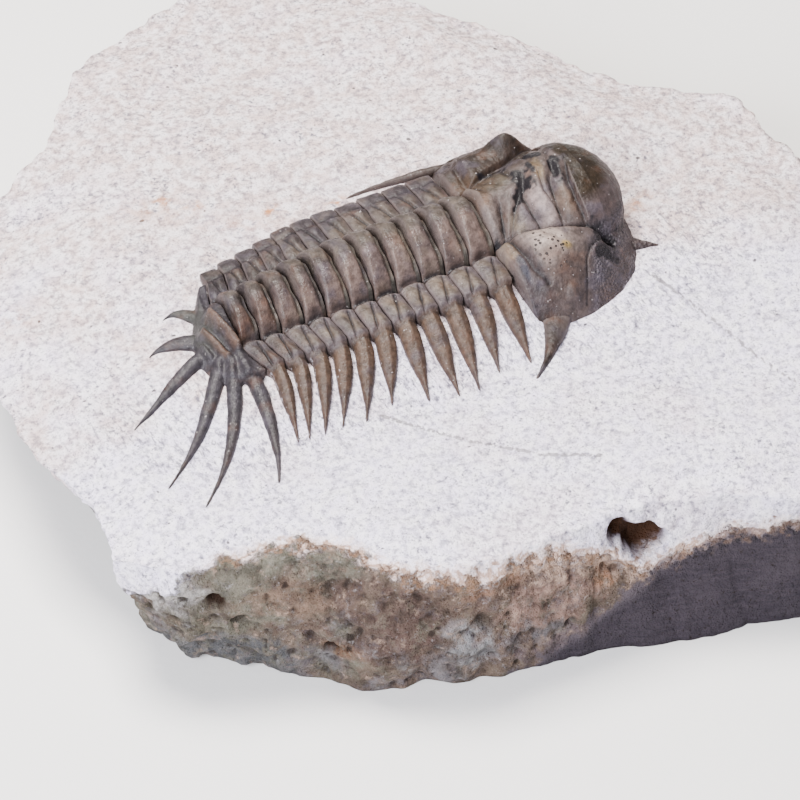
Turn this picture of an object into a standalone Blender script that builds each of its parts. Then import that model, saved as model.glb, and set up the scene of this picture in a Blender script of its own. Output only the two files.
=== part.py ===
"""Fossil trilobite lying in the broken slab of limestone it was prepared from.

The animal's long axis is X, with the head at +X. Its left side is +Y and up is +Z.
Sizes are written in millimetres in the animal's own frame: X = 0 is near the middle of the
thorax, Y = 0 is the midline and Z = 0 is the level of the rock around the animal. The finished
pieces are moved so that the origin is below the middle of the slab, at its flat base.
"""
import math

import bmesh
import bpy
import numpy as np

MM = 0.001
COLLECTION_NAME = "fossil_cyrtometopus_trilobite"

# The slab of rock
SLAB_DEPTH = 17.0
SLAB_MAP_CENTRE = (8.0, 0.0)
SLAB_CELLS = (32, 32)
SLAB_CELL_CROWDING = 1.25
CREST_ROUNDING_START = 0.84
# Broken edge of the upper face, seen from above, anticlockwise from the head end
SLAB_CREST = (
    (56.5, -1.0), (55.5, 9.0), (44.5, 20.0), (34.0, 36.0), (27.0, 44.5), (17.0, 52.5), (8.5, 53.5),
    (-5.0, 49.5), (-11.7, 43.0), (-16.6, 36.5), (-24.0, 32.5), (-31.5, 27.0), (-35.0, 17.0),
    (-35.6, 6.0), (-36.0, -3.0), (-34.0, -14.0), (-35.0, -20.5), (-31.0, -25.5), (-22.5, -28.0),
    (-15.9, -31.5), (-10.5, -36.8), (-1.5, -39.5), (9.1, -39.3), (16.0, -39.8), (23.0, -42.5),
    (29.5, -46.0), (38.0, -44.5), (46.0, -38.0), (52.5, -27.0), (55.5, -14.0),
)
# Around the slab from the head end: degrees, drop of the crest below the upper face,
# how far the broken wall stands out at half height, and how far at the base
SLAB_WALL = (
    (0, 0.6, 0.2, -3.0), (25, 0.8, 2.6, -1.5), (60, 0.8, 1.4, -4.0), (100, 0.9, -0.5, -6.0),
    (150, 1.2, -2.5, -8.5), (185, 1.6, -3.5, -9.5), (205, 1.4, -1.2, -6.8), (219, 1.0, 1.2, -1.6),
    (228, 0.8, 1.4, 1.4), (237, 0.8, 1.2, 2.6), (246, 0.7, 1.2, 0.2), (262, 0.7, 0.8, 1.8),
    (272, 0.6, 0.6, 2.8), (282, 0.6, 0.2, 5.6), (291, 0.6, 0.2, 3.8), (300, 0.6, 0.4, 0.4),
    (318, 0.6, 0.4, -1.0), (338, 0.6, 0.2, -2.2),
)
WALL_LEVELS = (0.18, 0.5, 0.82, 1.0)

# The bed of rock that carries the animal, lower under the tail, with the far side higher
BED_HEIGHT = 2.3
BED_TAIL_HEIGHT = 1.5
BED_FULL = {-1: 8.2, 1: 9.2}
BED_END = {-1: 17.4, 1: 12.0}
FAR_RISE = 2.1
FAR_RISE_START = 2.0
FAR_RISE_WIDTH = 8.5
# Where the far side starts to sink again, over what distance, and by what share
FAR_RISE_FADE = (18.0, 30.0, 0.6)
FAR_RISE_ENDS = (-30.0, 30.0)
FAR_RISE_END_LENGTH = 16.0
BED_TAIL_START = -10.0
BED_TAIL_LENGTH = 14.5
BED_HEAD_START = 16.9
BED_HEAD_LENGTH = 3.0
BED_SOFTNESS = 0.45
# Gap kept between pieces, and how far around a point the coarse rock looks for its lowest place
CLEARANCE = 0.3
ROCK_SLACK = 1.05

# The thorax
SEGMENTS = 11
REAR_START = 2.0
REAR_LENGTH = 16.0
THORAX_FRONT = 17.3
FIRST_PITCH = 3.0
LAST_PITCH = 2.4
AXIS_HALF = 4.5
AXIS_HALF_REAR = 3.5
RING_RISE = 3.3
RING_RISE_REAR = 2.6
RING_BOW = 0.45
RING_SQUARENESS = 2.3
RING_FULLNESS = 0.62
# Forward slant of the flat pleurae, gained by each joint behind the sixth
PLEURA_LEAN = 0.22
PLEURA_LEAN_START = 5.5
PLEURA_THICKNESS = 1.3
PLEURA_SWELL = 0.3
FULCRUM = 9.0
FULCRUM_REAR = {-1: 8.0, 1: 6.8}
# How far each segment's spine reaches past the fulcrum: near side one by one, far side alike
SPINE_REACH = (8.1, 8.0, 9.2, 9.0, 8.1, 7.0, 7.8, 7.7, 8.1, 8.1, 8.1)
FAR_SPINE_REACH = 2.3
SPINE_BASE_WIDTH = 2.1
SPINE_BASE_WIDTH_REAR = 1.55
SPINE_THICKNESS = 1.0
SPINE_TIP_THICKNESS = 0.35
SPINE_TIP_WIDTH = 0.3
SPINE_TAPER = 2.2
# Height of a spine's side as a share of its thickness
SPINE_SIDE_SHARE = 0.45
# Length over which the flat pleura narrows into the spine
SPINE_BLEND = 1.2
SPINE_LEAN_POWER = 1.3
# Rearward lean of each near spine from its base to its tip
SPINE_SWEEP = (1.2, 1.9, 2.0, 1.4, 1.7, 2.8, 3.6, 3.8, 3.6, 3.0, 2.0)
# Across a segment: profile of the axial ring from its rear edge to its front edge
RING_PROFILE = ((-1.0, 0.78), (-0.65, 0.98), (0.05, 0.97), (0.4, 0.8), (0.7, 0.86), (1.0, 0.76))
# Stations across a segment, as shares of the ring's half-width and of the spine's reach
RING_STATIONS = (0.0, 0.42, 0.78, 1.0)
PLEURA_STATION_STEP = 1.15
SPINE_STATIONS = (0.3, 0.55, 0.8, 1.0)

# The head
HEAD_HALF_WIDTH = 13.9
HEAD_FAR_WIDTH = 11.9
HEAD_CORNER_X = 20.6
HEAD_FRONT = 34.5
HEAD_ROUNDNESS = 2.3
HEAD_CELLS = (28, 13)
HEAD_CELL_CROWDING = 0.8
HEAD_REAR_INSET = 1.2
# Forward sweep of the head's rear border, from the axial furrow out to the corner
HEAD_REAR_SWEEP = 2.8
HEAD_REAR_SWEEP_START = 4.0
HEAD_REAR_SWEEP_WIDTH = 9.0
RIM_HEIGHT = 0.8
CHEEK_HEIGHT = 6.2
CHEEK_SLOPE_START = 0.55
CHEEK_SLOPE_POWER = 1.6
# Fall of the cheek toward its rear border
CHEEK_REAR_FALL = 1.7
CHEEK_REAR_X = 20.8
CHEEK_REAR_LENGTH = 3.0
GLABELLA_HALF = 4.3
GLABELLA_SPREAD = 1.0
GLABELLA_FOOT = 4.6
GLABELLA_CREST_REAR = 7.0
GLABELLA_CREST_FRONT = 8.8
GLABELLA_START = 18.5
GLABELLA_LENGTH = 9.0
GLABELLA_END = 29.5
# Cross furrows of the glabella: place on the axial furrow and depth
GLABELLA_FURROWS = ((20.1, 1.1), (22.6, 0.7), (25.1, 0.7), (27.5, 0.6))
GLABELLA_FURROW_WIDTH = 0.45
GLABELLA_FURROW_SLANT = 0.3
LOBE_CENTRE = (28.3, 3.4)
LOBE_RADII = (5.9, 7.2, 5.3)
EYE_PLACE = (25.3, 8.2)
EYE_RADII = (1.7, 1.2)
EYE_RISE = {-1: 0.5, 1: 2.0}

# The tail shield, turned a little toward the near side, and its rear margin in plan
TAIL_FRONT = -12.4
TAIL_REAR = -16.9
TAIL_HALF_WIDTH = {-1: 7.6, 1: 6.8}
TAIL_MARGIN = (
    (-13.1, -7.5), (-14.7, -7.2), (-16.2, -6.0), (-16.9, -2.8), (-16.0, 0.7), (-14.3, 3.6), (-12.9, 5.9),
    (-12.3, 6.7),
)
TAIL_CELLS = (20, 8)
TAIL_TURN = 0.42
TAIL_RINGS = 3
TAIL_RING_DEPTH = 0.14
TAIL_FALL = 0.7
# Half-width and rise of the tail's axis, at its front and at its rear
TAIL_AXIS_HALF = (3.4, 1.2)
TAIL_AXIS_RISE = (2.3, 0.5)

# Spines of the tail and head: root, bend and tip in plan, and width at the root
TAIL_SPINES = (
    ((-13.2, -6.6), (-12.9, -14.0), (-16.5, -20.5), 1.8),
    ((-14.9, -5.4), (-16.9, -13.6), (-24.7, -20.1), 1.8),
    ((-15.6, -4.4), (-19.7, -10.8), (-26.8, -15.9), 1.7),
    ((-15.6, -2.2), (-21.2, -3.5), (-26.4, -6.9), 1.7),
    ((-14.8, -0.3), (-18.4, 2.3), (-20.7, 1.3), 2.1),
    ((-13.6, 3.2), (-14.6, 6.0), (-16.7, 5.4), 1.8),
    ((-13.1, 4.6), (-13.3, 6.3), (-13.7, 7.2), 1.3),
    ((-12.8, 5.4), (-12.7, 6.6), (-12.8, 7.5), 1.0),
)
CHEEK_SPINES = (
    ((21.4, -12.6), (18.6, -16.7), (14.0, -19.3), 2.3),
    ((20.9, 10.8), (15.6, 12.6), (8.2, 12.4), 1.5),
)
FRONT_SPIKE = ((31.9, -5.9), (33.8, -7.0), (35.3, -7.8), 1.5)
ROOT_SPINE_THICKNESS = 1.5
SPINE_STEPS = 8
SPINE_LIFT = 0.08

# Sine ripples of the upper face: length, heading in degrees, phase and height
RIPPLES = ((34.0, 20.0, 0.4, 0.35), (23.0, 110.0, 1.7, 0.28), (15.0, 65.0, 3.1, 0.16))
# Oval around the animal that stays level
LEVEL_CENTRE = (3.0, -2.0)
LEVEL_RADII = (36.0, 24.0)
LEVEL_BLEND = 0.35

SHARP_ANGLE = 40.0


def smooth_step(value):
    """Rise smoothly from 0 to 1 as the value goes from 0 to 1."""
    held = np.clip(value, 0.0, 1.0)
    return held * held * (3.0 - 2.0 * held)


def mix(first, second, share):
    """Blend two values by a share between 0 and 1."""
    return first + (second - first) * share


def around(angles, table, column):
    """Read a column of a table that is listed by degrees around a circle."""
    rows = np.array(table, dtype=float)
    turn = np.radians(np.concatenate([rows[:, 0], rows[:1, 0] + 360.0]))
    values = np.concatenate([rows[:, column], rows[:1, column]])
    return np.interp(np.mod(angles, 2.0 * math.pi), turn, values)


def crest_radius(angles):
    """Distance from the map centre to the broken edge in each direction."""
    places = np.array(SLAB_CREST) - np.array(SLAB_MAP_CENTRE)
    bearing = np.mod(np.arctan2(places[:, 1], places[:, 0]), 2.0 * math.pi)
    order = np.argsort(bearing)
    bearing = bearing[order]
    places = places[order]
    turn = np.concatenate([bearing[-1:] - 2.0 * math.pi, bearing, bearing[:1] + 2.0 * math.pi])
    loop = np.concatenate([places[-1:], places, places[:1]])
    wanted = np.mod(angles, 2.0 * math.pi)
    east = np.interp(wanted, turn, loop[:, 0])
    north = np.interp(wanted, turn, loop[:, 1])
    return np.hypot(east, north)


def segment_edges():
    """Give the X of every joint line of the thorax, from the head to the tail."""
    pitches = np.linspace(FIRST_PITCH, LAST_PITCH, SEGMENTS)
    return THORAX_FRONT - np.concatenate([[0.0], np.cumsum(pitches)])


def joint_line(number, y, edges):
    """X of a joint line between two of the animal's plates, at a distance from the midline."""
    size = np.abs(y)
    middle = edges[number]
    axis, _ = ring_shape(middle)
    fulcrum = fulcrum_place(middle, y)
    bow = RING_BOW * np.clip(1.0 - (size / axis) ** 2, 0.0, 1.0)
    outward = np.clip((size - axis) / (fulcrum - axis), 0.0, 1.0)
    return middle + bow + PLEURA_LEAN * max(0.0, number - PLEURA_LEAN_START) * outward


def rearness(x):
    """Give 0 over the front of the thorax and 1 at the tail."""
    return smooth_step((REAR_START - x) / REAR_LENGTH)


def bed_height(x, y):
    """Height of the rock that the animal lies on, zero away from the animal."""
    size = np.abs(y)
    side = np.where(y < 0.0, -1, 1)
    full = np.where(side < 0, BED_FULL[-1], BED_FULL[1])
    end = np.where(side < 0, BED_END[-1], BED_END[1])
    beyond = 0.5 + 0.5 * (size - full) / (end - full)
    across = np.where(size < full, 0.5 * size / full, beyond)
    along = np.maximum(BED_TAIL_START - x, 0.0) / BED_TAIL_LENGTH
    reach = (np.hypot(across, along) - 0.5) / 0.5
    fall = mix(np.clip(reach, 0.0, 1.0), smooth_step(reach), BED_SOFTNESS)
    top = mix(BED_HEIGHT, BED_TAIL_HEIGHT, rearness(x))
    head = smooth_step((x - BED_HEAD_START) / BED_HEAD_LENGTH)
    return np.maximum(top * (1.0 - fall) * (1.0 - head), far_rise(x, y))


def far_rise(x, y):
    """Height of the rock on the animal's far side, where it stands higher than in front."""
    start, length, loss = FAR_RISE_FADE
    across = smooth_step((y - FAR_RISE_START) / FAR_RISE_WIDTH)
    across = across * (1.0 - loss * smooth_step((y - start) / length))
    rear, front = FAR_RISE_ENDS
    ahead = 1.0 - smooth_step((x - front) / FAR_RISE_END_LENGTH)
    behind = smooth_step((x - rear) / FAR_RISE_END_LENGTH)
    return FAR_RISE * across * ahead * behind


def rock_under(x, y):
    """Lowest bed height close to each point, so that the coarse rock stays below the animal."""
    lowest = bed_height(x, y)
    for turn in np.linspace(0.0, 2.0 * math.pi, 8, endpoint=False):
        beside = bed_height(x + ROCK_SLACK * math.cos(turn), y + ROCK_SLACK * math.sin(turn))
        lowest = np.minimum(lowest, beside)
    return lowest


def ripple_height(x, y):
    """Gentle waves of the upper face, level around the animal."""
    total = np.zeros_like(x)
    for length, heading, phase, height in RIPPLES:
        turn = math.radians(heading)
        run = x * math.cos(turn) + y * math.sin(turn)
        total = total + height * np.sin(2.0 * math.pi * run / length + phase)
    away = np.hypot((x - LEVEL_CENTRE[0]) / LEVEL_RADII[0], (y - LEVEL_CENTRE[1]) / LEVEL_RADII[1])
    return total * smooth_step((away - 1.0) / LEVEL_BLEND)


def fulcrum_place(x, y):
    """Distance from the midline at which the flat pleura turns down into its spine."""
    rear = np.where(np.asarray(y) < 0.0, FULCRUM_REAR[-1], FULCRUM_REAR[1])
    return mix(FULCRUM, rear, rearness(x))


def ring_shape(x):
    """Half-width and rise of the axial ring at a place along the body."""
    rear = rearness(x)
    return mix(AXIS_HALF, AXIS_HALF_REAR, rear), mix(RING_RISE, RING_RISE_REAR, rear)


def sheet_solid(name, collection, east, north, top, bottom, plain_base=False):
    """Thicken a grid into a closed solid with the given upper and lower heights.

    Args:
        name: Name of the object.
        collection: Collection that takes it.
        east: X of each grid point, as a two-way array.
        north: Y of each grid point.
        top: Height of the upper face at each point.
        bottom: Height of the lower face at each point.
        plain_base: Whether the lower face is one strip of quads along the columns.

    Returns:
        The new object.
    """
    columns, rows = east.shape
    shell = bmesh.new()
    bmesh.ops.create_grid(shell, x_segments=columns - 1, y_segments=rows - 1, size=1.0)
    shell.verts.ensure_lookup_table()
    places = {}
    for vert in shell.verts:
        column = round((vert.co.x + 1.0) * 0.5 * (columns - 1))
        row = round((vert.co.y + 1.0) * 0.5 * (rows - 1))
        places[vert] = (column, row)
    lifted = list(shell.faces)
    lower = {key: vert for vert, key in places.items()}
    made = bmesh.ops.extrude_face_region(shell, geom=lifted, use_keep_orig=True)
    upper = [item for item in made["geom"] if isinstance(item, bmesh.types.BMVert)]
    for vert in upper:
        column = round((vert.co.x + 1.0) * 0.5 * (columns - 1))
        row = round((vert.co.y + 1.0) * 0.5 * (rows - 1))
        vert.co = (east[column, row], north[column, row], top[column, row])
    for (column, row), vert in lower.items():
        vert.co = (east[column, row], north[column, row], bottom[column, row])
    if plain_base:
        merge_strips(shell, lower, rows)
    bmesh.ops.scale(shell, vec=(MM, MM, MM), verts=shell.verts)
    return finish_mesh(name, collection, shell)


def merge_strips(shell, lower, rows):
    """Dissolve the lengthwise edges inside the lower face, leaving one strip across the grid."""
    inner = {vert: row for (_, row), vert in lower.items() if 0 < row < rows - 1}
    within = [edge for edge in shell.edges if set(edge.verts) <= set(inner)]
    lengthwise = [edge for edge in within if inner[edge.verts[0]] == inner[edge.verts[1]]]
    bmesh.ops.dissolve_edges(shell, edges=lengthwise, use_verts=True)


def finish_mesh(name, collection, shell):
    """Close a piece's mesh, face it outward and put it in the scene."""
    bmesh.ops.recalc_face_normals(shell, faces=shell.faces)
    bmesh.ops.triangulate(shell, faces=shell.faces)
    mesh = bpy.data.meshes.new(name)
    shell.to_mesh(mesh)
    shell.free()
    piece = bpy.data.objects.new(name, mesh)
    collection.objects.link(piece)
    return piece


def make_material(name, colour, roughness):
    """Make one plain Principled material."""
    material = bpy.data.materials.new(name)
    material.use_nodes = True
    shader = material.node_tree.nodes["Principled BSDF"]
    shader.inputs["Base Color"].default_value = (*colour, 1.0)
    shader.inputs["Roughness"].default_value = roughness
    shader.inputs["Metallic"].default_value = 0.0
    return material


def limestone_material():
    """Pale, chalky limestone."""
    return make_material("limestone", (0.72, 0.69, 0.70), 0.9)


def shell_material():
    """Brown-grey fossil shell with a low sheen."""
    return make_material("fossil_shell", (0.22, 0.17, 0.165), 0.45)


def join_solid(target, tool):
    """Fuse one closed solid into another and remove the tool."""
    union = target.modifiers.new("fuse_" + tool.name, "BOOLEAN")
    union.operation = "UNION"
    union.solver = "EXACT"
    union.object = tool
    bpy.context.view_layer.update()
    graph = bpy.context.evaluated_depsgraph_get()
    fused = bpy.data.meshes.new_from_object(target.evaluated_get(graph))
    flat = bmesh.new()
    flat.from_mesh(fused)
    bmesh.ops.triangulate(flat, faces=flat.faces)
    flat.to_mesh(fused)
    flat.free()
    old = target.data
    target.modifiers.clear()
    target.data = fused
    target.data.name = target.name
    bpy.data.meshes.remove(old)
    bpy.data.objects.remove(tool)


def slab_grid():
    """Spread a square grid over the slab, closer together near the animal."""
    columns, rows = SLAB_CELLS
    a = np.linspace(-1.0, 1.0, columns + 1)[:, None] * np.ones((1, rows + 1))
    b = np.ones((columns + 1, 1)) * np.linspace(-1.0, 1.0, rows + 1)[None, :]
    a = np.sign(a) * np.abs(a) ** SLAB_CELL_CROWDING
    b = np.sign(b) * np.abs(b) ** SLAB_CELL_CROWDING
    disc_x = a * np.sqrt(1.0 - 0.5 * b * b)
    disc_y = b * np.sqrt(1.0 - 0.5 * a * a)
    share = np.hypot(disc_x, disc_y)
    angle = np.arctan2(disc_y, disc_x)
    radius = crest_radius(angle) * share
    east = SLAB_MAP_CENTRE[0] + radius * np.cos(angle)
    north = SLAB_MAP_CENTRE[1] + radius * np.sin(angle)
    edge = smooth_step((share - CREST_ROUNDING_START) / (1.0 - CREST_ROUNDING_START))
    height = rock_under(east, north) + ripple_height(east, north) * (1.0 - edge)
    return east, north, height - edge * around(angle, SLAB_WALL, 1)


def wall_place(x, y, level):
    """Place of the broken wall below an edge point, at a level from 0 to 1."""
    angle = math.atan2(y - SLAB_MAP_CENTRE[1], x - SLAB_MAP_CENTRE[0])
    drop, middle, foot = (float(around(angle, SLAB_WALL, column)) for column in (1, 2, 3))
    arch = 4.0 * level * (1.0 - level)
    out = middle * arch + foot * level * level
    height = mix(-drop, -SLAB_DEPTH, level)
    return x + out * math.cos(angle), y + out * math.sin(angle), height


def build_matrix(collection):
    """Make the slab: upper face, broken walls drawn down from its edge, flat base."""
    east, north, height = slab_grid()
    columns, rows = east.shape
    shell = bmesh.new()
    bmesh.ops.create_grid(shell, x_segments=columns - 1, y_segments=rows - 1, size=1.0)
    for vert in shell.verts:
        column = round((vert.co.x + 1.0) * 0.5 * (columns - 1))
        row = round((vert.co.y + 1.0) * 0.5 * (rows - 1))
        vert.co = (east[column, row], north[column, row], height[column, row])
    rim = [edge for edge in shell.edges if edge.is_boundary]
    origin = {vert: tuple(vert.co) for edge in rim for vert in edge.verts}
    for level in WALL_LEVELS:
        made = bmesh.ops.extrude_edge_only(shell, edges=rim)
        fresh = [item for item in made["geom"] if isinstance(item, bmesh.types.BMVert)]
        previous = {tuple(round(part, 5) for part in vert.co): start for vert, start in origin.items()}
        origin = {vert: previous[tuple(round(part, 5) for part in vert.co)] for vert in fresh}
        for vert, start in origin.items():
            vert.co = wall_place(start[0], start[1], level)
        rim = [item for item in made["geom"] if isinstance(item, bmesh.types.BMEdge)]
        rim = [edge for edge in rim if edge.is_boundary]
    bmesh.ops.contextual_create(shell, geom=rim)
    bmesh.ops.scale(shell, vec=(MM, MM, MM), verts=shell.verts)
    piece = finish_mesh("matrix", collection, shell)
    piece.data.materials.append(limestone_material())
    return piece


def spine_section(place, thickness):
    """Upper height of a spine over its bed, across the spine from edge to edge."""
    crown = np.sqrt(np.clip(1.0 - place * place, 0.0, 1.0))
    return thickness * mix(SPINE_SIDE_SHARE, 1.0, crown)


def spine_width(share, root):
    """Width of a dagger-shaped spine at a share of its length."""
    return mix(root * (1.0 - share ** SPINE_TAPER), SPINE_TIP_WIDTH, share ** 3)


def segment_rows(number, edges):
    """List the stations across one segment, from the near spine tip to the far one."""
    centre = 0.5 * (edges[number] + edges[number + 1])
    axis, _ = ring_shape(centre)
    rows = []
    for side in (-1, 1):
        fulcrum = float(fulcrum_place(centre, side))
        inner = [axis * share for share in RING_STATIONS]
        inner = inner + [axis + PLEURA_STATION_STEP, fulcrum - PLEURA_STATION_STEP, fulcrum]
        reach = SPINE_REACH[number] if side < 0 else FAR_SPINE_REACH
        outer = [fulcrum + reach * share for share in SPINE_STATIONS]
        rows.append([side * value for value in inner + outer])
    return sorted(set(rows[0] + rows[1]))


def build_segment(number, edges, collection, material):
    """Make one thoracic segment: axial ring, flat inner pleurae and outer spines."""
    centre = 0.5 * (edges[number] + edges[number + 1])
    axis, rise = ring_shape(centre)
    rows = np.array(segment_rows(number, edges))
    fulcrum = fulcrum_place(centre, rows)
    places = np.array([place for place, _ in RING_PROFILE])
    heights = np.array([height for _, height in RING_PROFILE])
    size = np.abs(rows)
    reach = np.where(rows < 0.0, SPINE_REACH[number], FAR_SPINE_REACH)
    share = np.clip((size - fulcrum) / reach, 0.0, 1.0)
    front = joint_line(number, rows, edges) - 0.5 * CLEARANCE
    rear = joint_line(number + 1, rows, edges) + 0.5 * CLEARANCE
    lean = SPINE_SWEEP[number] * reach / SPINE_REACH[number]
    middle = 0.5 * (front + rear) - lean * share ** SPINE_LEAN_POWER
    plate_width = front - rear
    narrow = smooth_step((size - fulcrum + SPINE_BLEND) / SPINE_BLEND)
    root = mix(SPINE_BASE_WIDTH, SPINE_BASE_WIDTH_REAR, rearness(centre))
    width = np.minimum(mix(plate_width, spine_width(share, root), narrow), plate_width)
    east = middle[:, None] + 0.5 * width[:, None] * places[None, :]
    north = rows[:, None] * np.ones_like(east)
    bottom = bed_height(east, north) + CLEARANCE
    vault = rise * np.clip(1.0 - (size / axis) ** RING_SQUARENESS, 0.0, 1.0) ** RING_FULLNESS
    level = mix(BED_HEIGHT, BED_TAIL_HEIGHT, rearness(east)) + CLEARANCE + PLEURA_THICKNESS
    flank = level + PLEURA_SWELL * (1.0 - places[None, :] ** 2)
    ring = level + vault[:, None] * heights[None, :]
    plate = np.where((size < axis)[:, None], ring, flank)
    thickness = mix(SPINE_THICKNESS, SPINE_TIP_THICKNESS, share)[:, None]
    spine = bottom + spine_section(places[None, :], thickness)
    top = mix(plate, spine, narrow[:, None])
    name = f"thorax_segment_{number + 1:02d}"
    piece = sheet_solid(name, collection, east, north, top, bottom, plain_base=True)
    piece.data.materials.append(material)
    return piece


def head_edge(turn):
    """Point of the head's outer rim, from -1 at the near corner to 1 at the far one."""
    angle = turn * 0.5 * math.pi
    power = 2.0 / HEAD_ROUNDNESS
    along = np.abs(np.cos(angle)) ** power
    across = np.sign(turn) * np.abs(np.sin(angle)) ** power
    width = np.where(turn < 0.0, HEAD_HALF_WIDTH, HEAD_FAR_WIDTH)
    return HEAD_CORNER_X + (HEAD_FRONT - HEAD_CORNER_X) * along, width * across


def glabella_height(x, y):
    """Height of the raised middle of the head and its swollen front lobe."""
    size = np.abs(y)
    forward = smooth_step((x - GLABELLA_START) / GLABELLA_LENGTH)
    half = GLABELLA_HALF + GLABELLA_SPREAD * forward
    crown = mix(GLABELLA_CREST_REAR, GLABELLA_CREST_FRONT, forward)
    furrows = 0.0
    for place, depth in GLABELLA_FURROWS:
        bent = place - GLABELLA_FURROW_SLANT * (GLABELLA_HALF - size)
        furrows = furrows + depth * np.exp(-((x - bent) / GLABELLA_FURROW_WIDTH) ** 2)
    vault = np.clip(1.0 - (size / half) ** RING_SQUARENESS, 0.0, 1.0) ** RING_FULLNESS
    rear = GLABELLA_FOOT + (crown - furrows - GLABELLA_FOOT) * vault
    rear = np.where((size < half) & (x < GLABELLA_END), rear, 0.0)
    place_x, place_z = LOBE_CENTRE
    radius_x, radius_y, radius_z = LOBE_RADII
    room = 1.0 - ((x - place_x) / radius_x) ** 2 - (y / radius_y) ** 2
    lobe = np.where(room > 0.0, place_z + radius_z * np.sqrt(np.clip(room, 0.0, 1.0)), 0.0)
    return np.maximum(rear, lobe)


def head_height(x, y):
    """Height of the whole head shield above the surrounding rock."""
    along = np.maximum(x - HEAD_CORNER_X, 0.0) / (HEAD_FRONT - HEAD_CORNER_X)
    across = np.abs(y) / HEAD_HALF_WIDTH
    reach = (along ** HEAD_ROUNDNESS + across ** HEAD_ROUNDNESS) ** (1.0 / HEAD_ROUNDNESS)
    slope = np.clip((reach - CHEEK_SLOPE_START) / (1.0 - CHEEK_SLOPE_START), 0.0, 1.0)
    cheek = CHEEK_HEIGHT * (1.0 - slope ** CHEEK_SLOPE_POWER)
    cheek = cheek - CHEEK_REAR_FALL * smooth_step((CHEEK_REAR_X - x) / CHEEK_REAR_LENGTH)
    rise = np.where(y < 0.0, EYE_RISE[-1], EYE_RISE[1])
    off_x = (x - EYE_PLACE[0]) / EYE_RADII[0]
    off_y = (np.abs(y) - EYE_PLACE[1]) / EYE_RADII[1]
    eye = rise * np.exp(-off_x ** 2 - off_y ** 2)
    return np.maximum(cheek + eye, glabella_height(x, y))


def build_cephalon(edges, collection, material):
    """Make the head shield with its cheek spines and the small spike under its front."""
    columns, rows = HEAD_CELLS
    turn = np.linspace(-1.0, 1.0, columns + 1)[:, None]
    share = np.linspace(0.0, 1.0, rows + 1)[None, :] ** HEAD_CELL_CROWDING
    front_x, front_y = head_edge(turn)
    rear_y = turn * (np.where(turn < 0.0, HEAD_HALF_WIDTH, HEAD_FAR_WIDTH) - HEAD_REAR_INSET)
    outward = smooth_step((np.abs(rear_y) - HEAD_REAR_SWEEP_START) / HEAD_REAR_SWEEP_WIDTH)
    rear_x = joint_line(0, rear_y, edges) + 0.5 * CLEARANCE + HEAD_REAR_SWEEP * outward
    east = mix(rear_x, front_x, share)
    north = mix(rear_y, front_y, share)
    bottom = bed_height(east, north) + CLEARANCE
    top = np.maximum(head_height(east, north), bottom + RIM_HEIGHT)
    piece = sheet_solid("cephalon", collection, east, north, top, bottom)
    for number, spine in enumerate(CHEEK_SPINES + (FRONT_SPIKE,)):
        join_solid(piece, build_spine(f"cheek_spine_{number}", spine, collection))
    piece.data.materials.clear()
    piece.data.materials.append(material)
    return piece


def spine_route(root, bend, tip, share):
    """Place along a bent spine, on a curve that starts toward the bend."""
    first = (1.0 - share) ** 2
    second = 2.0 * share * (1.0 - share)
    third = share ** 2
    return (first * root[0] + second * bend[0] + third * tip[0],
            first * root[1] + second * bend[1] + third * tip[1])


def build_spine(name, spine, collection):
    """Make one spine that lies on the rock, to be fused to its shield."""
    root, bend, tip, root_width = spine
    share = np.linspace(0.0, 1.0, SPINE_STEPS + 1)
    route_x, route_y = spine_route(root, bend, tip, share)
    along_x = np.gradient(route_x)
    along_y = np.gradient(route_y)
    length = np.hypot(along_x, along_y)
    places = np.array([-1.0, 0.0, 1.0])
    half = 0.5 * spine_width(share, root_width)
    east = route_x[:, None] - (along_y / length * half)[:, None] * places[None, :]
    north = route_y[:, None] + (along_x / length * half)[:, None] * places[None, :]
    bottom = bed_height(east, north) + CLEARANCE + SPINE_LIFT
    thickness = mix(ROOT_SPINE_THICKNESS, SPINE_TIP_THICKNESS, share)[:, None]
    top = bottom + spine_section(places[None, :], thickness)
    return sheet_solid(name, collection, east, north, top, bottom)


def tail_height(x, y):
    """Height of the tail shield with its few short rings."""
    along = np.clip((TAIL_FRONT - x) / (TAIL_FRONT - TAIL_REAR), 0.0, 1.0)
    off_line = y + TAIL_TURN * (TAIL_FRONT - x)
    level = mix(BED_HEIGHT, BED_TAIL_HEIGHT, rearness(x)) + CLEARANCE + PLEURA_THICKNESS - TAIL_FALL * along
    half = mix(*TAIL_AXIS_HALF, along)
    rise = mix(*TAIL_AXIS_RISE, along)
    vault = np.clip(1.0 - (np.abs(off_line) / half) ** RING_SQUARENESS, 0.0, 1.0) ** RING_FULLNESS
    ring = 1.0 - TAIL_RING_DEPTH * (1.0 - np.cos(2.0 * math.pi * TAIL_RINGS * along))
    return level + rise * vault * ring


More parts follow.
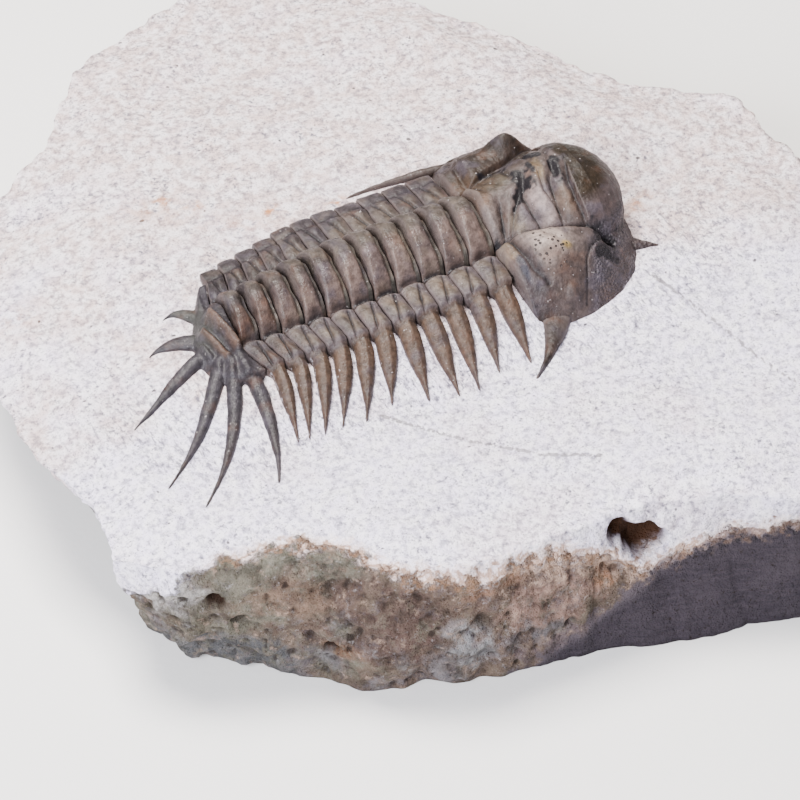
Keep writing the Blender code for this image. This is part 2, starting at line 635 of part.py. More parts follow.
def build_pygidium(edges, collection, material):
    """Make the tail shield with its four pairs of spines."""
    columns, rows = TAIL_CELLS
    turn = np.linspace(-1.0, 1.0, columns + 1)[:, None]
    share = np.linspace(0.0, 1.0, rows + 1)[None, :]
    front_y = np.where(turn < 0.0, TAIL_HALF_WIDTH[-1], TAIL_HALF_WIDTH[1]) * turn
    front_x = joint_line(SEGMENTS, front_y, edges) - 0.5 * CLEARANCE
    margin = np.array(TAIL_MARGIN)
    stations = np.linspace(-1.0, 1.0, len(TAIL_MARGIN))
    rear_x = np.interp(turn, stations, margin[:, 0])
    rear_y = np.interp(turn, stations, margin[:, 1])
    east = mix(front_x, rear_x, share)
    north = mix(front_y, rear_y, share)
    bottom = bed_height(east, north) + CLEARANCE
    top = np.maximum(tail_height(east, north), bottom + RIM_HEIGHT)
    piece = sheet_solid("pygidium", collection, east, north, top, bottom)
    for number, spine in enumerate(TAIL_SPINES):
        join_solid(piece, build_spine(f"tail_spine_{number}", spine, collection))
    piece.data.materials.clear()
    piece.data.materials.append(material)
    return piece


def centre_pieces(pieces):
    """Move every piece so that the origin is below the middle of the slab, at its base."""
    slab = pieces[0]
    places = np.array([tuple(vert.co) for vert in slab.data.vertices])
    low = places.min(axis=0)
    high = places.max(axis=0)
    shift = (-0.5 * (low[0] + high[0]), -0.5 * (low[1] + high[1]), -low[2])
    for piece in pieces:
        for vert in piece.data.vertices:
            vert.co = (vert.co[0] + shift[0], vert.co[1] + shift[1], vert.co[2] + shift[2])
        piece.data.shade_smooth()
        piece.data.set_sharp_from_angle(angle=math.radians(SHARP_ANGLE))


def main():
    """Build the slab and the animal's pieces."""
    for item in list(bpy.data.objects):
        bpy.data.objects.remove(item, do_unlink=True)
    collection = bpy.data.collections.new(COLLECTION_NAME)
    bpy.context.scene.collection.children.link(collection)
    edges = segment_edges()
    shell = shell_material()
    pieces = [build_matrix(collection)]
    pieces.append(build_cephalon(edges, collection, shell))
    for number in range(SEGMENTS):
        pieces.append(build_segment(number, edges, collection, shell))
    pieces.append(build_pygidium(edges, collection, shell))
    centre_pieces(pieces)


main()
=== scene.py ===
"""Looks of a fossil trilobite lying in its broken slab of pale limestone.

Every piece is modelled in millimetres in the animal's own frame, where X runs toward the head,
+Y toward the side that faces away from the camera, and Z is 0 on the rock around the animal. A
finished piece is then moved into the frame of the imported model, in metres.
"""

import logging
import math
from collections.abc import Callable
from dataclasses import dataclass
from enum import Enum

import bpy
import numpy as np
from mathutils import Matrix, Vector


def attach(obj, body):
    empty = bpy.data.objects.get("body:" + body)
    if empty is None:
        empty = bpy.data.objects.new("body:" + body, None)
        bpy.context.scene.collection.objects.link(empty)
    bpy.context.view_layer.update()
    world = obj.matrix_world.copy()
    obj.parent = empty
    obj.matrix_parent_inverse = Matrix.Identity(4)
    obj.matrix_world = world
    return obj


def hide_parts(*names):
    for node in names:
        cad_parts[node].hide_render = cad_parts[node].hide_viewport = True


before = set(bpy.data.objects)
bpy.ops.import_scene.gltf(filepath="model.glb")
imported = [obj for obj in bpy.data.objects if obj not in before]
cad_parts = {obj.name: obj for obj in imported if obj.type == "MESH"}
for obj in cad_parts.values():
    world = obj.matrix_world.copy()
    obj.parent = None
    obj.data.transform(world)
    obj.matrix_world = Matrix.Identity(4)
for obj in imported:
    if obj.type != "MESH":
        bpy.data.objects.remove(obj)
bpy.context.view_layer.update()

Array = np.ndarray
Point = tuple[float, float]
Triple = tuple[float, float, float]
Colour = Triple
Route = tuple[Point, ...]
Socket = bpy.types.NodeSocket
# A mound is its middle, its radii, the turn of its long axis in degrees, and its height
Mound = tuple[Point, Point, float, float]
# A cut or a bar is its route, its depth or height, and its width
Cut = tuple[Route, float, float]
# A layer of grain is its height, its size, its seed and its rounds
Layer = tuple[float, float, int, int]

MM = 0.001
ORIGIN = (-10.273, -2.906, 17.0)
ROOT_BODY = "root"
DOWN_ONE = {"value": (0.0, 0.0, -1.0)}
SAME_PLACE = 1e-5
FAR_AWAY = 1e9
CELL_KEYS = (374761393, 668265263, 1440662683)
SEED_KEY = 974634777
SCRAMBLE_KEY = 1274126177
ROUND_SHIFT = 17.3
LOG = logging.getLogger("trilobite")


class Slot(Enum):
    """The record's material slots."""

    ROCK = "limestone"
    SHELL = "fossil_shell"


def smooth_step(value: Array | float) -> Array:
    """Rise smoothly from 0 to 1 as the value goes from 0 to 1."""
    held = np.clip(value, 0.0, 1.0)
    return held * held * (3.0 - 2.0 * held)


def mix(first: Array | float, second: Array | float, share: Array | float) -> Array:
    """Blend two values by a share between 0 and 1."""
    return first + (second - first) * share


def mound(x: Array, y: Array, place: Point, radii: Point, turn: float = 0.0) -> Array:
    """Make a soft round mound of height 1.

    Args:
        x: X of each point.
        y: Y of each point.
        place: Middle of the mound.
        radii: Its radii along and across.
        turn: Turn of its long axis, in degrees.

    Returns:
        Height of the mound at each point, from 0 to 1.
    """
    bearing = math.radians(turn)
    east = x - place[0]
    north = y - place[1]
    along = (east * math.cos(bearing) + north * math.sin(bearing)) / radii[0]
    across = (north * math.cos(bearing) - east * math.sin(bearing)) / radii[1]
    return np.exp(-along ** 2 - across ** 2)


def mounds(x: Array, y: Array, table: tuple[Mound, ...]) -> Array:
    """Add up the mounds of a table at each point."""
    return sum(height * mound(x, y, place, radii, turn) for place, radii, turn, height in table)


def line_distance(x: Array, y: Array, route: Route) -> Array:
    """Measure the shortest distance from each point to a line of straight runs.

    Args:
        x: X of each point.
        y: Y of each point.
        route: Corners of the line.

    Returns:
        The distance at each point.
    """
    best = np.full(np.shape(x), FAR_AWAY)
    for (x0, y0), (x1, y1) in zip(route, route[1:]):
        run_x = x1 - x0
        run_y = y1 - y0
        share = ((x - x0) * run_x + (y - y0) * run_y) / (run_x ** 2 + run_y ** 2)
        share = np.clip(share, 0.0, 1.0)
        best = np.minimum(best, np.hypot(x - x0 - share * run_x, y - y0 - share * run_y))
    return best


def mirrored(route: Route) -> Route:
    """Give the same route on the animal's other side."""
    return tuple((east, -north) for east, north in route)


def groove(distance: Array, width: float) -> Array:
    """Give the cross-section of a soft groove, 1 in its middle."""
    return np.exp(-(distance / width) ** 2)


def cuts(x: Array, y: Array, table: tuple[Cut, ...]) -> Array:
    """Add up the depths of a table of cuts at each point."""
    return sum(depth * groove(line_distance(x, y, route), width) for route, depth, width in table)


def lattice_value(cell: Array, seed: int) -> Array:
    """Give a fixed random number for each whole-number cell.

    Args:
        cell: The cells, one row each.
        seed: Number that picks one set of values.

    Returns:
        One value from -1 to 1 for each row.
    """
    key = sum(cell[..., axis] * factor for axis, factor in enumerate(CELL_KEYS)) + seed * SEED_KEY
    key = (key ^ (key >> 13)) * SCRAMBLE_KEY
    key = key ^ (key >> 16)
    return (key & 0xFFFFFF) / 0x7FFFFF - 1.0


def grain(points: Array, size: float, seed: int, rounds: int = 1) -> Array:
    """Make a smooth random field over space.

    Args:
        points: Places to read, one row each.
        size: Distance over which the field changes, in the points' own unit.
        seed: Number that picks one field.
        rounds: How many fields are added, each finer and half as strong as the one before.

    Returns:
        The field at each point, about -1 to 1.
    """
    total = np.zeros(len(points))
    strength = 1.0
    reached = 0.0
    for turn in range(rounds):
        scaled = points / size * 2.0 ** turn + ROUND_SHIFT * turn
        cell = np.floor(scaled).astype(np.int64)
        part = scaled - cell
        part = part * part * part * (part * (part * 6.0 - 15.0) + 10.0)
        value = np.zeros(len(points))
        for corner in range(8):
            step = np.array([corner & 1, corner >> 1 & 1, corner >> 2 & 1])
            weight = np.prod(np.where(step == 1, part, 1.0 - part), axis=1)
            value += weight * lattice_value(cell + step, seed + turn)
        total += strength * value
        reached += strength
        strength *= 0.5
    return total / reached ** 0.5


def layered(points: Array, layers: tuple[Layer, ...]) -> Array:
    """Add up layers of grain at each point."""
    return sum(height * grain(points, size, seed, rounds) for height, size, seed, rounds in layers)


def tinted(first: Array, second: Colour, share: Array) -> Array:
    """Mix a colour into the colour of each vertex."""
    return first + (np.array(second) - first) * share[:, None]


def stack(*columns: Array | float) -> Array:
    """Put coordinate columns side by side as rows of points."""
    return np.stack(np.broadcast_arrays(*columns), axis=-1).astype(float)


def select_only(body: bpy.types.Object) -> None:
    """Deselect everything, then select one object and make it the active one.

    Args:
        body: The object.
    """
    bpy.ops.object.select_all(action="DESELECT")
    body.select_set(True)
    bpy.context.view_layer.objects.active = body


class Workpiece:
    """One mesh piece, shaped from a primitive with Blender's modelling operators."""

    def __init__(self, name: str) -> None:
        """Name the primitive that was just added."""
        self.body = bpy.context.object
        self.body.name = self.body.data.name = name

    @classmethod
    def sheet(cls, name: str, columns: int, rows: int) -> "Workpiece":
        """Add a flat grid that spans -1 to 1 both ways.

        Args:
            name: Name of the piece.
            columns: Faces along X.
            rows: Faces along Y.

        Returns:
            The new piece.
        """
        bpy.ops.object.select_all(action="DESELECT")
        bpy.ops.mesh.primitive_grid_add(x_subdivisions=columns, y_subdivisions=rows, size=2.0)
        return cls(name)

    @classmethod
    def rod(cls, name: str, sides: int, rings: int) -> "Workpiece":
        """Add a closed rod along Z from -1 to 1, and cut it into rings.

        Args:
            name: Name of the piece.
            sides: Faces around the rod.
            rings: Cuts along the rod.

        Returns:
            The new piece.
        """
        bpy.ops.object.select_all(action="DESELECT")
        bpy.ops.mesh.primitive_cylinder_add(vertices=sides, radius=1.0, depth=2.0, end_fill_type="TRIFAN")
        piece = cls(name)
        piece.cut_upright_edges(rings)
        return piece

    def read_vertices(self, what: str) -> Array:
        """Read a vector of every vertex.

        Args:
            what: The vertex property, co or normal.

        Returns:
            One row for each vertex.
        """
        mesh = self.body.data
        flat = np.empty(len(mesh.vertices) * 3)
        mesh.vertices.foreach_get(what, flat)
        return flat.reshape(-1, 3)

    def points(self) -> Array:
        """Give the place of every vertex."""
        return self.read_vertices("co")

    def move_points(self, places: Array) -> None:
        """Move every vertex to a new place."""
        self.body.data.vertices.foreach_set("co", places.astype(np.float32).ravel())
        self.body.data.update()

    def push(self, shift: Array) -> None:
        """Move every vertex along its normal."""
        self.move_points(self.points() + self.read_vertices("normal") * shift[:, None])

    def ends_of_edges(self) -> Array:
        """Give the two vertex numbers of every edge.

        Returns:
            One row for each edge.
        """
        mesh = self.body.data
        flat = np.empty(len(mesh.edges) * 2, dtype=np.int64)
        mesh.edges.foreach_get("vertices", flat)
        return flat.reshape(-1, 2)

    def select_edges(self, wanted: Array) -> None:
        """Select these edges alone, and open the mesh for editing.

        Args:
            wanted: True for each edge to select.
        """
        select_only(self.body)
        bpy.context.tool_settings.mesh_select_mode = (False, True, False)
        bpy.ops.object.mode_set(mode="EDIT")
        bpy.ops.mesh.select_all(action="DESELECT")
        bpy.ops.object.mode_set(mode="OBJECT")
        self.body.data.edges.foreach_set("select", wanted)
        bpy.ops.object.mode_set(mode="EDIT")

    def cut_upright_edges(self, number: int) -> None:
        """Subdivide the edges that stand upright, which cuts the walls into level bands.

        Args:
            number: How many cuts each edge gets.
        """
        places = self.points()
        ends = self.ends_of_edges()
        run = np.abs(places[ends[:, 0]] - places[ends[:, 1]])
        self.select_edges((run[:, 2] > 0.5) & (run[:, :2].max(axis=1) < SAME_PLACE))
        bpy.ops.mesh.subdivide(number_cuts=number)
        bpy.ops.object.mode_set(mode="OBJECT")

    def edit_whole(self, operator: Callable, **settings: object) -> None:
        """Run an operator of edit mode on the whole mesh.

        Args:
            operator: The operator.
            settings: What it is given.
        """
        select_only(self.body)
        bpy.ops.object.mode_set(mode="EDIT")
        bpy.ops.mesh.select_all(action="SELECT")
        operator(**settings)
        bpy.ops.object.mode_set(mode="OBJECT")

    def thicken(self) -> None:
        """Extrude the whole sheet down by one unit, which closes it."""
        self.edit_whole(bpy.ops.mesh.extrude_region_move, TRANSFORM_OT_translate=DOWN_ONE)

    def face_outward(self) -> None:
        """Turn every face to look outward."""
        self.edit_whole(bpy.ops.mesh.normals_make_consistent, inside=False)

    def draw_walls(self, levels: int) -> None:
        """Extrude the sheet's rim down by one unit, close the base, and cut the walls into bands.

        Args:
            levels: How many bands the walls get.
        """
        places = self.points()
        ends = self.ends_of_edges()
        rim = np.zeros(len(ends), dtype=bool)
        for axis in (0, 1):
            for side in (-1.0, 1.0):
                rim |= (np.abs(places[ends, axis] - side) < SAME_PLACE).all(axis=1)
        self.select_edges(rim)
        bpy.ops.mesh.extrude_edges_move(TRANSFORM_OT_translate=DOWN_ONE)
        bpy.ops.mesh.edge_face_add()
        bpy.ops.object.mode_set(mode="OBJECT")
        self.cut_upright_edges(levels - 1)

    def apply(self, kind: str, **settings: object) -> None:
        """Add a modifier and apply it.

        Args:
            kind: Blender's name for the modifier.
            settings: Its settings.
        """
        select_only(self.body)
        modifier = self.body.modifiers.new(kind.lower(), kind)
        for name, value in settings.items():
            setattr(modifier, name, value)
        bpy.ops.object.modifier_apply(modifier=modifier.name)

    def take_in(self, others: list["Workpiece"]) -> None:
        """Join other pieces into this one.

        Args:
            others: The pieces to join.
        """
        select_only(self.body)
        for other in others:
            other.body.select_set(True)
        bpy.ops.object.join()

    def smoothed(self, places: Array, rounds: int) -> Array:
        """Average every vertex with its neighbours.

        Args:
            places: A row of numbers for each vertex.
            rounds: How many times each is averaged.

        Returns:
            The averaged rows.
        """
        ends = self.ends_of_edges()
        count = np.bincount(ends.ravel(), minlength=len(places))[:, None]
        current = places
        for _ in range(rounds):
            total = np.zeros_like(current)
            for axis in range(current.shape[1]):
                for here, there in ((0, 1), (1, 0)):
                    total[:, axis] += np.bincount(ends[:, here], current[ends[:, there], axis], len(current))
            current = 0.5 * current + 0.5 * total / np.maximum(count, 1)
        return current

    def relief(self, rounds: int) -> Array:
        """Measure how deep hollows lie below the smoothed surface.

        Args:
            rounds: How many times the surface is smoothed.

        Returns:
            The depth at each vertex, less than 0 on ridges.
        """
        places = self.points()
        away = self.smoothed(places, rounds) - places
        return np.einsum("ij,ij->i", away, self.read_vertices("normal"))

    def set_values(self, **values: Array) -> None:
        """Store numbers for each vertex, one attribute for each name.

        Args:
            values: The numbers, under their names.
        """
        for name, numbers in values.items():
            layer = self.body.data.attributes.new(name, "FLOAT", "POINT")
            layer.data.foreach_set("value", np.asarray(numbers, dtype=np.float32))

    def set_colour(self, name: str, colours: Array) -> None:
        """Store one colour for each vertex.

        Args:
            name: Name of the attribute.
            colours: A row for each vertex.
        """
        layer = self.body.data.attributes.new(name, "FLOAT_COLOR", "POINT")
        full = np.concatenate([colours, np.ones((len(colours), 1))], axis=1)
        layer.data.foreach_set("color", full.astype(np.float32).ravel())

    def hand_over(self, node: str, slot: Slot, material: bpy.types.Material) -> None:
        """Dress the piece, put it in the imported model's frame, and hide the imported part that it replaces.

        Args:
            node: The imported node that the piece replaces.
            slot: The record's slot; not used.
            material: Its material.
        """
        mesh = self.body.data
        mesh.transform(Matrix.Scale(MM, 4) @ Matrix.Translation(Vector(ORIGIN)))
        mesh.materials.clear()
        mesh.materials.append(material)
        select_only(self.body)
        bpy.ops.object.shade_smooth()
        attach(self.body, ROOT_BODY)
        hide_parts(node)
        LOG.info("%s: %d triangles", self.body.name, sum(len(face.vertices) - 2 for face in mesh.polygons))


@dataclass(frozen=True)
class BodyPlan:
    """Measures of the animal, and of the bed of rock that carries it.

    A pair is the value at the head and at the tail, or on the near side and on the far side.
    """

    segments: int = 11
    thorax_front: float = 17.3
    first_pitch: float = 3.0
    last_pitch: float = 2.4
    axis_half: Point = (4.5, 3.5)
    ring_rise: Point = (3.3, 2.6)
    ring_bow: float = 0.45
    ring_swing: Triple = (0.5, 2.2, 1.5)
    arch_power: Point = (1.8, 3.3)
    arch_fullness: Point = (0.70, 0.60)
    pleura_lean: float = 0.22
    pleura_lean_start: float = 5.5
    pleura_level: float = 1.6
    fulcrum_front: float = 9.0
    fulcrum_rear: Point = (8.0, 6.8)
    rear_start: float = 2.0
    rear_length: float = 16.0
    bed_level: Point = (2.3, 1.5)
    bed_full: Point = (8.2, 9.2)
    bed_end: Point = (17.4, 12.0)
    bed_tail: Point = (-10.0, 14.5)
    bed_head: Point = (16.9, 3.0)
    bed_softness: float = 0.45
    far_rise: float = 2.1
    far_rise_across: Point = (2.0, 8.5)
    far_rise_fade: Triple = (18.0, 30.0, 0.6)
    far_rise_ends: Triple = (-30.0, 30.0, 16.0)

    def edges(self) -> Array:
        """X of every joint line of the thorax, from the head to the tail."""
        pitches = np.linspace(self.first_pitch, self.last_pitch, self.segments)
        return self.thorax_front - np.concatenate([[0.0], np.cumsum(pitches)])

    def rearness(self, x: Array | float) -> Array:
        """0 over the front of the thorax and 1 at the tail."""
        return smooth_step((self.rear_start - x) / self.rear_length)

    def fulcrum(self, x: Array | float, y: Array | float) -> Array:
        """Distance from the midline at which a pleura turns down into its spine."""
        rear = np.where(np.asarray(y) < 0.0, *self.fulcrum_rear)
        return mix(self.fulcrum_front, rear, self.rearness(x))

    def ring_shape(self, x: Array | float) -> tuple[Array, Array]:
        """Half-width and rise of the axial ring at a place along the body."""
        rear = self.rearness(x)
        return mix(*self.axis_half, rear), mix(*self.ring_rise, rear)

    def pleura_top(self, x: Array) -> Array:
        """Level of the inner pleurae, over the rock around the animal."""
        return mix(*self.bed_level, self.rearness(x)) + self.pleura_level

    def swing(self, y: Array) -> Array:
        """Forward swing of the furrows where they pass over the crown."""
        reach, place, width = self.ring_swing
        return reach * np.exp(-((y - place) / width) ** 2)

    def joint_line(self, number: int, y: Array) -> Array:
        """Find the joint line between two plates.

        Args:
            number: Number of the line, 0 behind the head.
            y: Distance from the midline, less than 0 on the near side.

        Returns:
            X of the line at each distance.
        """
        size = np.abs(y)
        middle = self.edges()[number]
        axis, _ = self.ring_shape(middle)
        fulcrum = self.fulcrum(middle, y)
        bow = self.ring_bow * np.clip(1.0 - (size / axis) ** 2, 0.0, 1.0) + self.swing(y)
        outward = np.clip((size - axis) / (fulcrum - axis), 0.0, 1.0)
        return middle + bow + self.pleura_lean * max(0.0, number - self.pleura_lean_start) * outward

    def bed_height(self, x: Array, y: Array) -> Array:
        """Give the height of the rock that the animal lies on.

        Args:
            x: X of each point.
            y: Y of each point.

        Returns:
            The height, which is zero away from the animal.
        """
        size = np.abs(y)
        full = np.where(y < 0.0, *self.bed_full)
        end = np.where(y < 0.0, *self.bed_end)
        beyond = 0.5 + 0.5 * (size - full) / (end - full)
        across = np.where(size < full, 0.5 * size / full, beyond)
        along = np.maximum(self.bed_tail[0] - x, 0.0) / self.bed_tail[1]
        reach = (np.hypot(across, along) - 0.5) / 0.5
        fall = mix(np.clip(reach, 0.0, 1.0), smooth_step(reach), self.bed_softness)
        top = mix(*self.bed_level, self.rearness(x))
        head = smooth_step((x - self.bed_head[0]) / self.bed_head[1])
        return np.maximum(top * (1.0 - fall) * (1.0 - head), self.far_height(x, y))

    def far_height(self, x: Array, y: Array) -> Array:
        """Give the height of the rock on the animal's far side.

        Args:
            x: X of each point.
            y: Y of each point.

        Returns:
            The height at each point.
        """
        start, length, loss = self.far_rise_fade
        rear, front, reach = self.far_rise_ends
        across = smooth_step((y - self.far_rise_across[0]) / self.far_rise_across[1])
        across = across * (1.0 - loss * smooth_step((y - start) / length))
        ahead = 1.0 - smooth_step((x - front) / reach)
        return self.far_rise * across * ahead * smooth_step((x - rear) / reach)

    def vault(self, y: Array, half: Array | float) -> Array:
        """Arch a ring: an even slope on the near side, and a broad crown that drops steeply on the far one.

        Args:
            y: Distance from the midline, less than 0 on the near side.
            half: Half-width of the ring.

        Returns:
            Share of the ring's rise at each point.
        """
        power = np.where(y < 0.0, *self.arch_power)
        fullness = np.where(y < 0.0, *self.arch_fullness)
        return np.clip(1.0 - (np.abs(y) / half) ** power, 0.0, 1.0) ** fullness


class NodeBench:
    """Short ways to wire a material's nodes."""

    def __init__(self, name: str) -> None:
        """Start a material whose only shader is a Principled one.

        Args:
            name: Name of the material.
        """
        self.material = bpy.data.materials.new(name)
        self.material.use_nodes = True
        self.tree = self.material.node_tree
        self.shader = self.tree.nodes["Principled BSDF"]
        self.place = self.add("TexCoord").outputs["Object"]

    def wire(self, socket: Socket, value: object) -> None:
        """Link a socket to an output, or set its own value.

        Args:
            socket: The input.
            value: An output, a number, a colour or a vector.
        """
        if isinstance(value, Socket):
            self.tree.links.new(value, socket)
        else:
            socket.default_value = value

    def add(self, kind: str, **inputs: object) -> bpy.types.Node:
        """Add a node.

        Args:
            kind: Blender's name for it, without the words that all shader nodes share.
            inputs: What its inputs get, under their names.

        Returns:
            The new node.
        """
        node = self.tree.nodes.new("ShaderNode" + kind)
        for name, value in inputs.items():
            self.wire(node.inputs[name], value)
        return node

    def attribute(self, name: str, output: str = "Fac") -> Socket:
        """Read a value or a colour stored on the mesh.

        Args:
            name: Name of the attribute.
            output: Fac for a value, Color for a colour.

        Returns:
            The output.
        """
        node = self.add("Attribute")
        node.attribute_name = name
        return node.outputs[output]

    def math(self, kind: str, *values: object, clamp: bool = False) -> Socket:
        """Work out one number.

        Args:
            kind: Blender's name for the sum.
            values: What goes in.
            clamp: Whether the result is held between 0 and 1.

        Returns:
            The output.
        """
        node = self.add("Math")
        node.operation = kind
        node.use_clamp = clamp
        for socket, value in zip(node.inputs, values):
            self.wire(socket, value)
        return node.outputs[0]

    def plus(self, first: object, second: object, clamp: bool = False) -> Socket:
        """Add two numbers."""
        return self.math("ADD", first, second, clamp=clamp)

    def times(self, first: object, second: object) -> Socket:
        """Multiply two numbers."""
        return self.math("MULTIPLY", first, second)

    def ramp(self, value: object, low: float, high: float, start: float = 0.0, end: float = 1.0) -> Socket:
        """Map a number smoothly from one range to another, held at both ends.

        Args:
            value: The number.
            low: Where it gives the start.
            high: Where it gives the end.
            start: The result at the low.
            end: The result at the high.

        Returns:
            The output.
        """
        node = self.add("MapRange")
        node.interpolation_type = "SMOOTHSTEP"
        for socket, number in zip(node.inputs, (value, low, high, start, end)):
            self.wire(socket, number)
        return node.outputs[0]

    def blend(self, share: object, first: object, second: object, kind: str = "MIX") -> Socket:
        """Mix two colours.

        Args:
            share: Share of the second.
            first: The first colour.
            second: The second colour.
            kind: Blender's name for the way of mixing.

        Returns:
            The colour output.
        """
        node = self.add("Mix")
        node.data_type = "RGBA"
        node.blend_type = kind
        colour = [socket for socket in node.inputs if socket.type == "RGBA"]
        self.wire(node.inputs[0], share)
        for socket, value in zip(colour, (first, second)):
            self.wire(socket, (*value, 1.0) if isinstance(value, tuple) else value)
        return next(socket for socket in node.outputs if socket.type == "RGBA")

    def veil(self, under: object, over: object, cloud: Socket, low: float, high: float,
             most: float = 1.0) -> Socket:
        """Lay a colour over another where a cloud passes through a range.

        Args:
            under: The colour below.
            over: The colour laid over it.
            cloud: The number that says where.
            low: Where the colour starts to show.
            high: Where it shows most.
            most: Its share there.

        Returns:
            The colour output.
        """
        return self.blend(self.ramp(cloud, low, high, 0.0, most), under, over)

    def shaded(self, colour: object, shade: object) -> Socket:
        """Make a colour darker or lighter by a number."""
        grey = self.add("CombineColor", Red=shade, Green=shade, Blue=shade)
        return self.blend(1.0, colour, grey.outputs[0], "MULTIPLY")

    def stretched(self, scale: Triple, turn: Triple) -> Socket:
        """Turn and stretch the piece's own coordinates."""
        turns = [math.radians(part) for part in turn]
        return self.add("Mapping", Vector=self.place, Scale=scale, Rotation=turns).outputs[0]

    def noise(self, size: float, detail: float = 2.0, place: object = None, rough: float = 0.5) -> Socket:
        """Make cloudy noise.

        Args:
            size: Width of its spots in millimetres.
            detail: How many finer rounds it has.
            place: Coordinates, or none for the piece's own.
            rough: Strength of the finer rounds.

        Returns:
            The output, about 0.2 to 0.8.
        """
        scale = 1.0 / (size * MM)
        node = self.add("TexNoise", Vector=place or self.place, Scale=scale, Detail=detail, Roughness=rough)
        return node.outputs["Fac"]

    def cells(self, size: float) -> Socket:
        """Distance to the nearest of scattered points, in cell widths."""
        return self.add("TexVoronoi", Vector=self.place, Scale=1.0 / (size * MM)).outputs["Distance"]

    def bump(self, height: object, depth: float, under: object = None) -> Socket:
        """Raise fine relief.

        Args:
            height: The number that says how high.
            depth: Height in millimetres where it is 1.
            under: Relief that lies below, if any.

        Returns:
            The normal output.
        """
        below = {} if under is None else {"Normal": under}
        return self.add("Bump", Distance=depth * MM, Height=height, **below).outputs["Normal"]

    def finish(self, colour: object, roughness: object, normal: object, **fixed: float) -> bpy.types.Material:
        """Wire the shader.

        Args:
            colour: Its colour.
            roughness: Its roughness.
            normal: Its normal.
            fixed: Values set on its other sockets, with underscores for spaces.

        Returns:
            The finished material.
        """
        for name, value in (("Base Color", colour), ("Roughness", roughness), ("Normal", normal)):
            self.wire(self.shader.inputs[name], value)
        for name, number in fixed.items():
            self.shader.inputs[name.replace("_", " ")].default_value = number
        return self.material


@dataclass(frozen=True)
class ShellFinish:
    """Brown-grey fossil shell, with painted shade in its grooves and pits, and rubbed pale on its ridges."""

    # dark serves the real black patches, and also the painted shade of grooves and pits
    dark: Colour = (0.008, 0.0065, 0.008)
    rubbed: Colour = (0.120, 0.095, 0.090)
    rust: Colour = (0.080, 0.040, 0.026)
    slate: Colour = (0.050, 0.043, 0.056)
    fleck: Colour = (0.40, 0.36, 0.36)
    dust: Colour = (0.44, 0.41, 0.45)
    # Widths of the patterns in millimetres
    broad_size: float = 2.6
    middle_size: float = 0.8
    fine_size: float = 0.24
    pit_size: float = 0.52
    fleck_size: float = 0.30
    granule_size: float = 0.34
    # Heights of the bumps in millimetres
    middle_height: float = 0.14
    fine_height: float = 0.05
    granule_height: float = 0.22
    pit_depth: float = 0.12
    specular: float = 0.24

    def colour(self, bench: NodeBench, middle: Socket, pits: Socket, dusty: Socket) -> Socket:
        """Mix the shell's colour.

        Args:
            bench: The material being wired.
            middle: Cloudy noise of middle width.
            pits: 1 in the cheek's pits.
            dusty: Share of rock dust.

        Returns:
            The colour output.
        """
        broad = bench.noise(self.broad_size, 3.0)
        colour = bench.veil(bench.attribute("tint", "Color"), self.rust, broad, 0.52, 0.74, 0.42)
        colour = bench.veil(colour, self.slate, broad, 0.48, 0.28, 0.50)
        colour = bench.shaded(colour, bench.ramp(middle, 0.25, 0.75, 0.58, 1.45))
        edge = bench.plus(bench.attribute("relief"), bench.ramp(middle, 0.2, 0.8, -0.025, 0.025))
        # Painted shade: the hollows of the relief are darkened
        colour = bench.veil(colour, self.dark, edge, 0.015, 0.15, 0.92)
        colour = bench.veil(colour, self.rubbed, edge, -0.05, -0.15, 0.42)
        colour = bench.blend(bench.attribute("black"), colour, self.dark)
        # Painted shade: the cheek's pits are darkened
        colour = bench.blend(bench.times(pits, 0.9), colour, self.dark)
        flecks = bench.ramp(bench.noise(self.fleck_size, 0.0), 0.82, 0.86)
        colour = bench.blend(bench.times(flecks, 0.50), colour, self.fleck)
        return bench.blend(dusty, colour, self.dust)

    def material(self) -> bpy.types.Material:
        """Make the material.

        Returns:
            The finished material.
        """
        bench = NodeBench("fossil_shell_finish")
        middle = bench.noise(self.middle_size, 4.0, rough=0.65)
        fine = bench.noise(self.fine_size, 2.0)
        pits = bench.times(bench.ramp(bench.cells(self.pit_size), 0.35, 0.26), bench.attribute("pitted"))
        dusty = bench.plus(bench.attribute("dust"), bench.ramp(middle, 0.2, 0.8, -0.45, 0.45))
        dusty = bench.times(bench.ramp(dusty, 0.50, 0.85), bench.ramp(fine, 0.25, 0.6, 0.35, 1.0))
        gloss = bench.ramp(bench.attribute("gloss"), 0.0, 1.0, 0.52, 0.30)
        roughness = bench.plus(gloss, bench.ramp(fine, 0.3, 0.7, -0.07, 0.12), clamp=True)
        roughness = bench.plus(roughness, bench.times(dusty, 0.4), clamp=True)
        granules = bench.times(bench.cells(self.granule_size), bench.attribute("granular"))
        normal = bench.bump(middle, self.middle_height)
        normal = bench.bump(fine, self.fine_height, normal)
        normal = bench.bump(granules, self.granule_height, normal)
        normal = bench.bump(bench.times(pits, -1.0), self.pit_depth, normal)
        colour = self.colour(bench, middle, pits, dusty)
        return bench.finish(colour, roughness, normal, Specular_IOR_Level=self.specular)


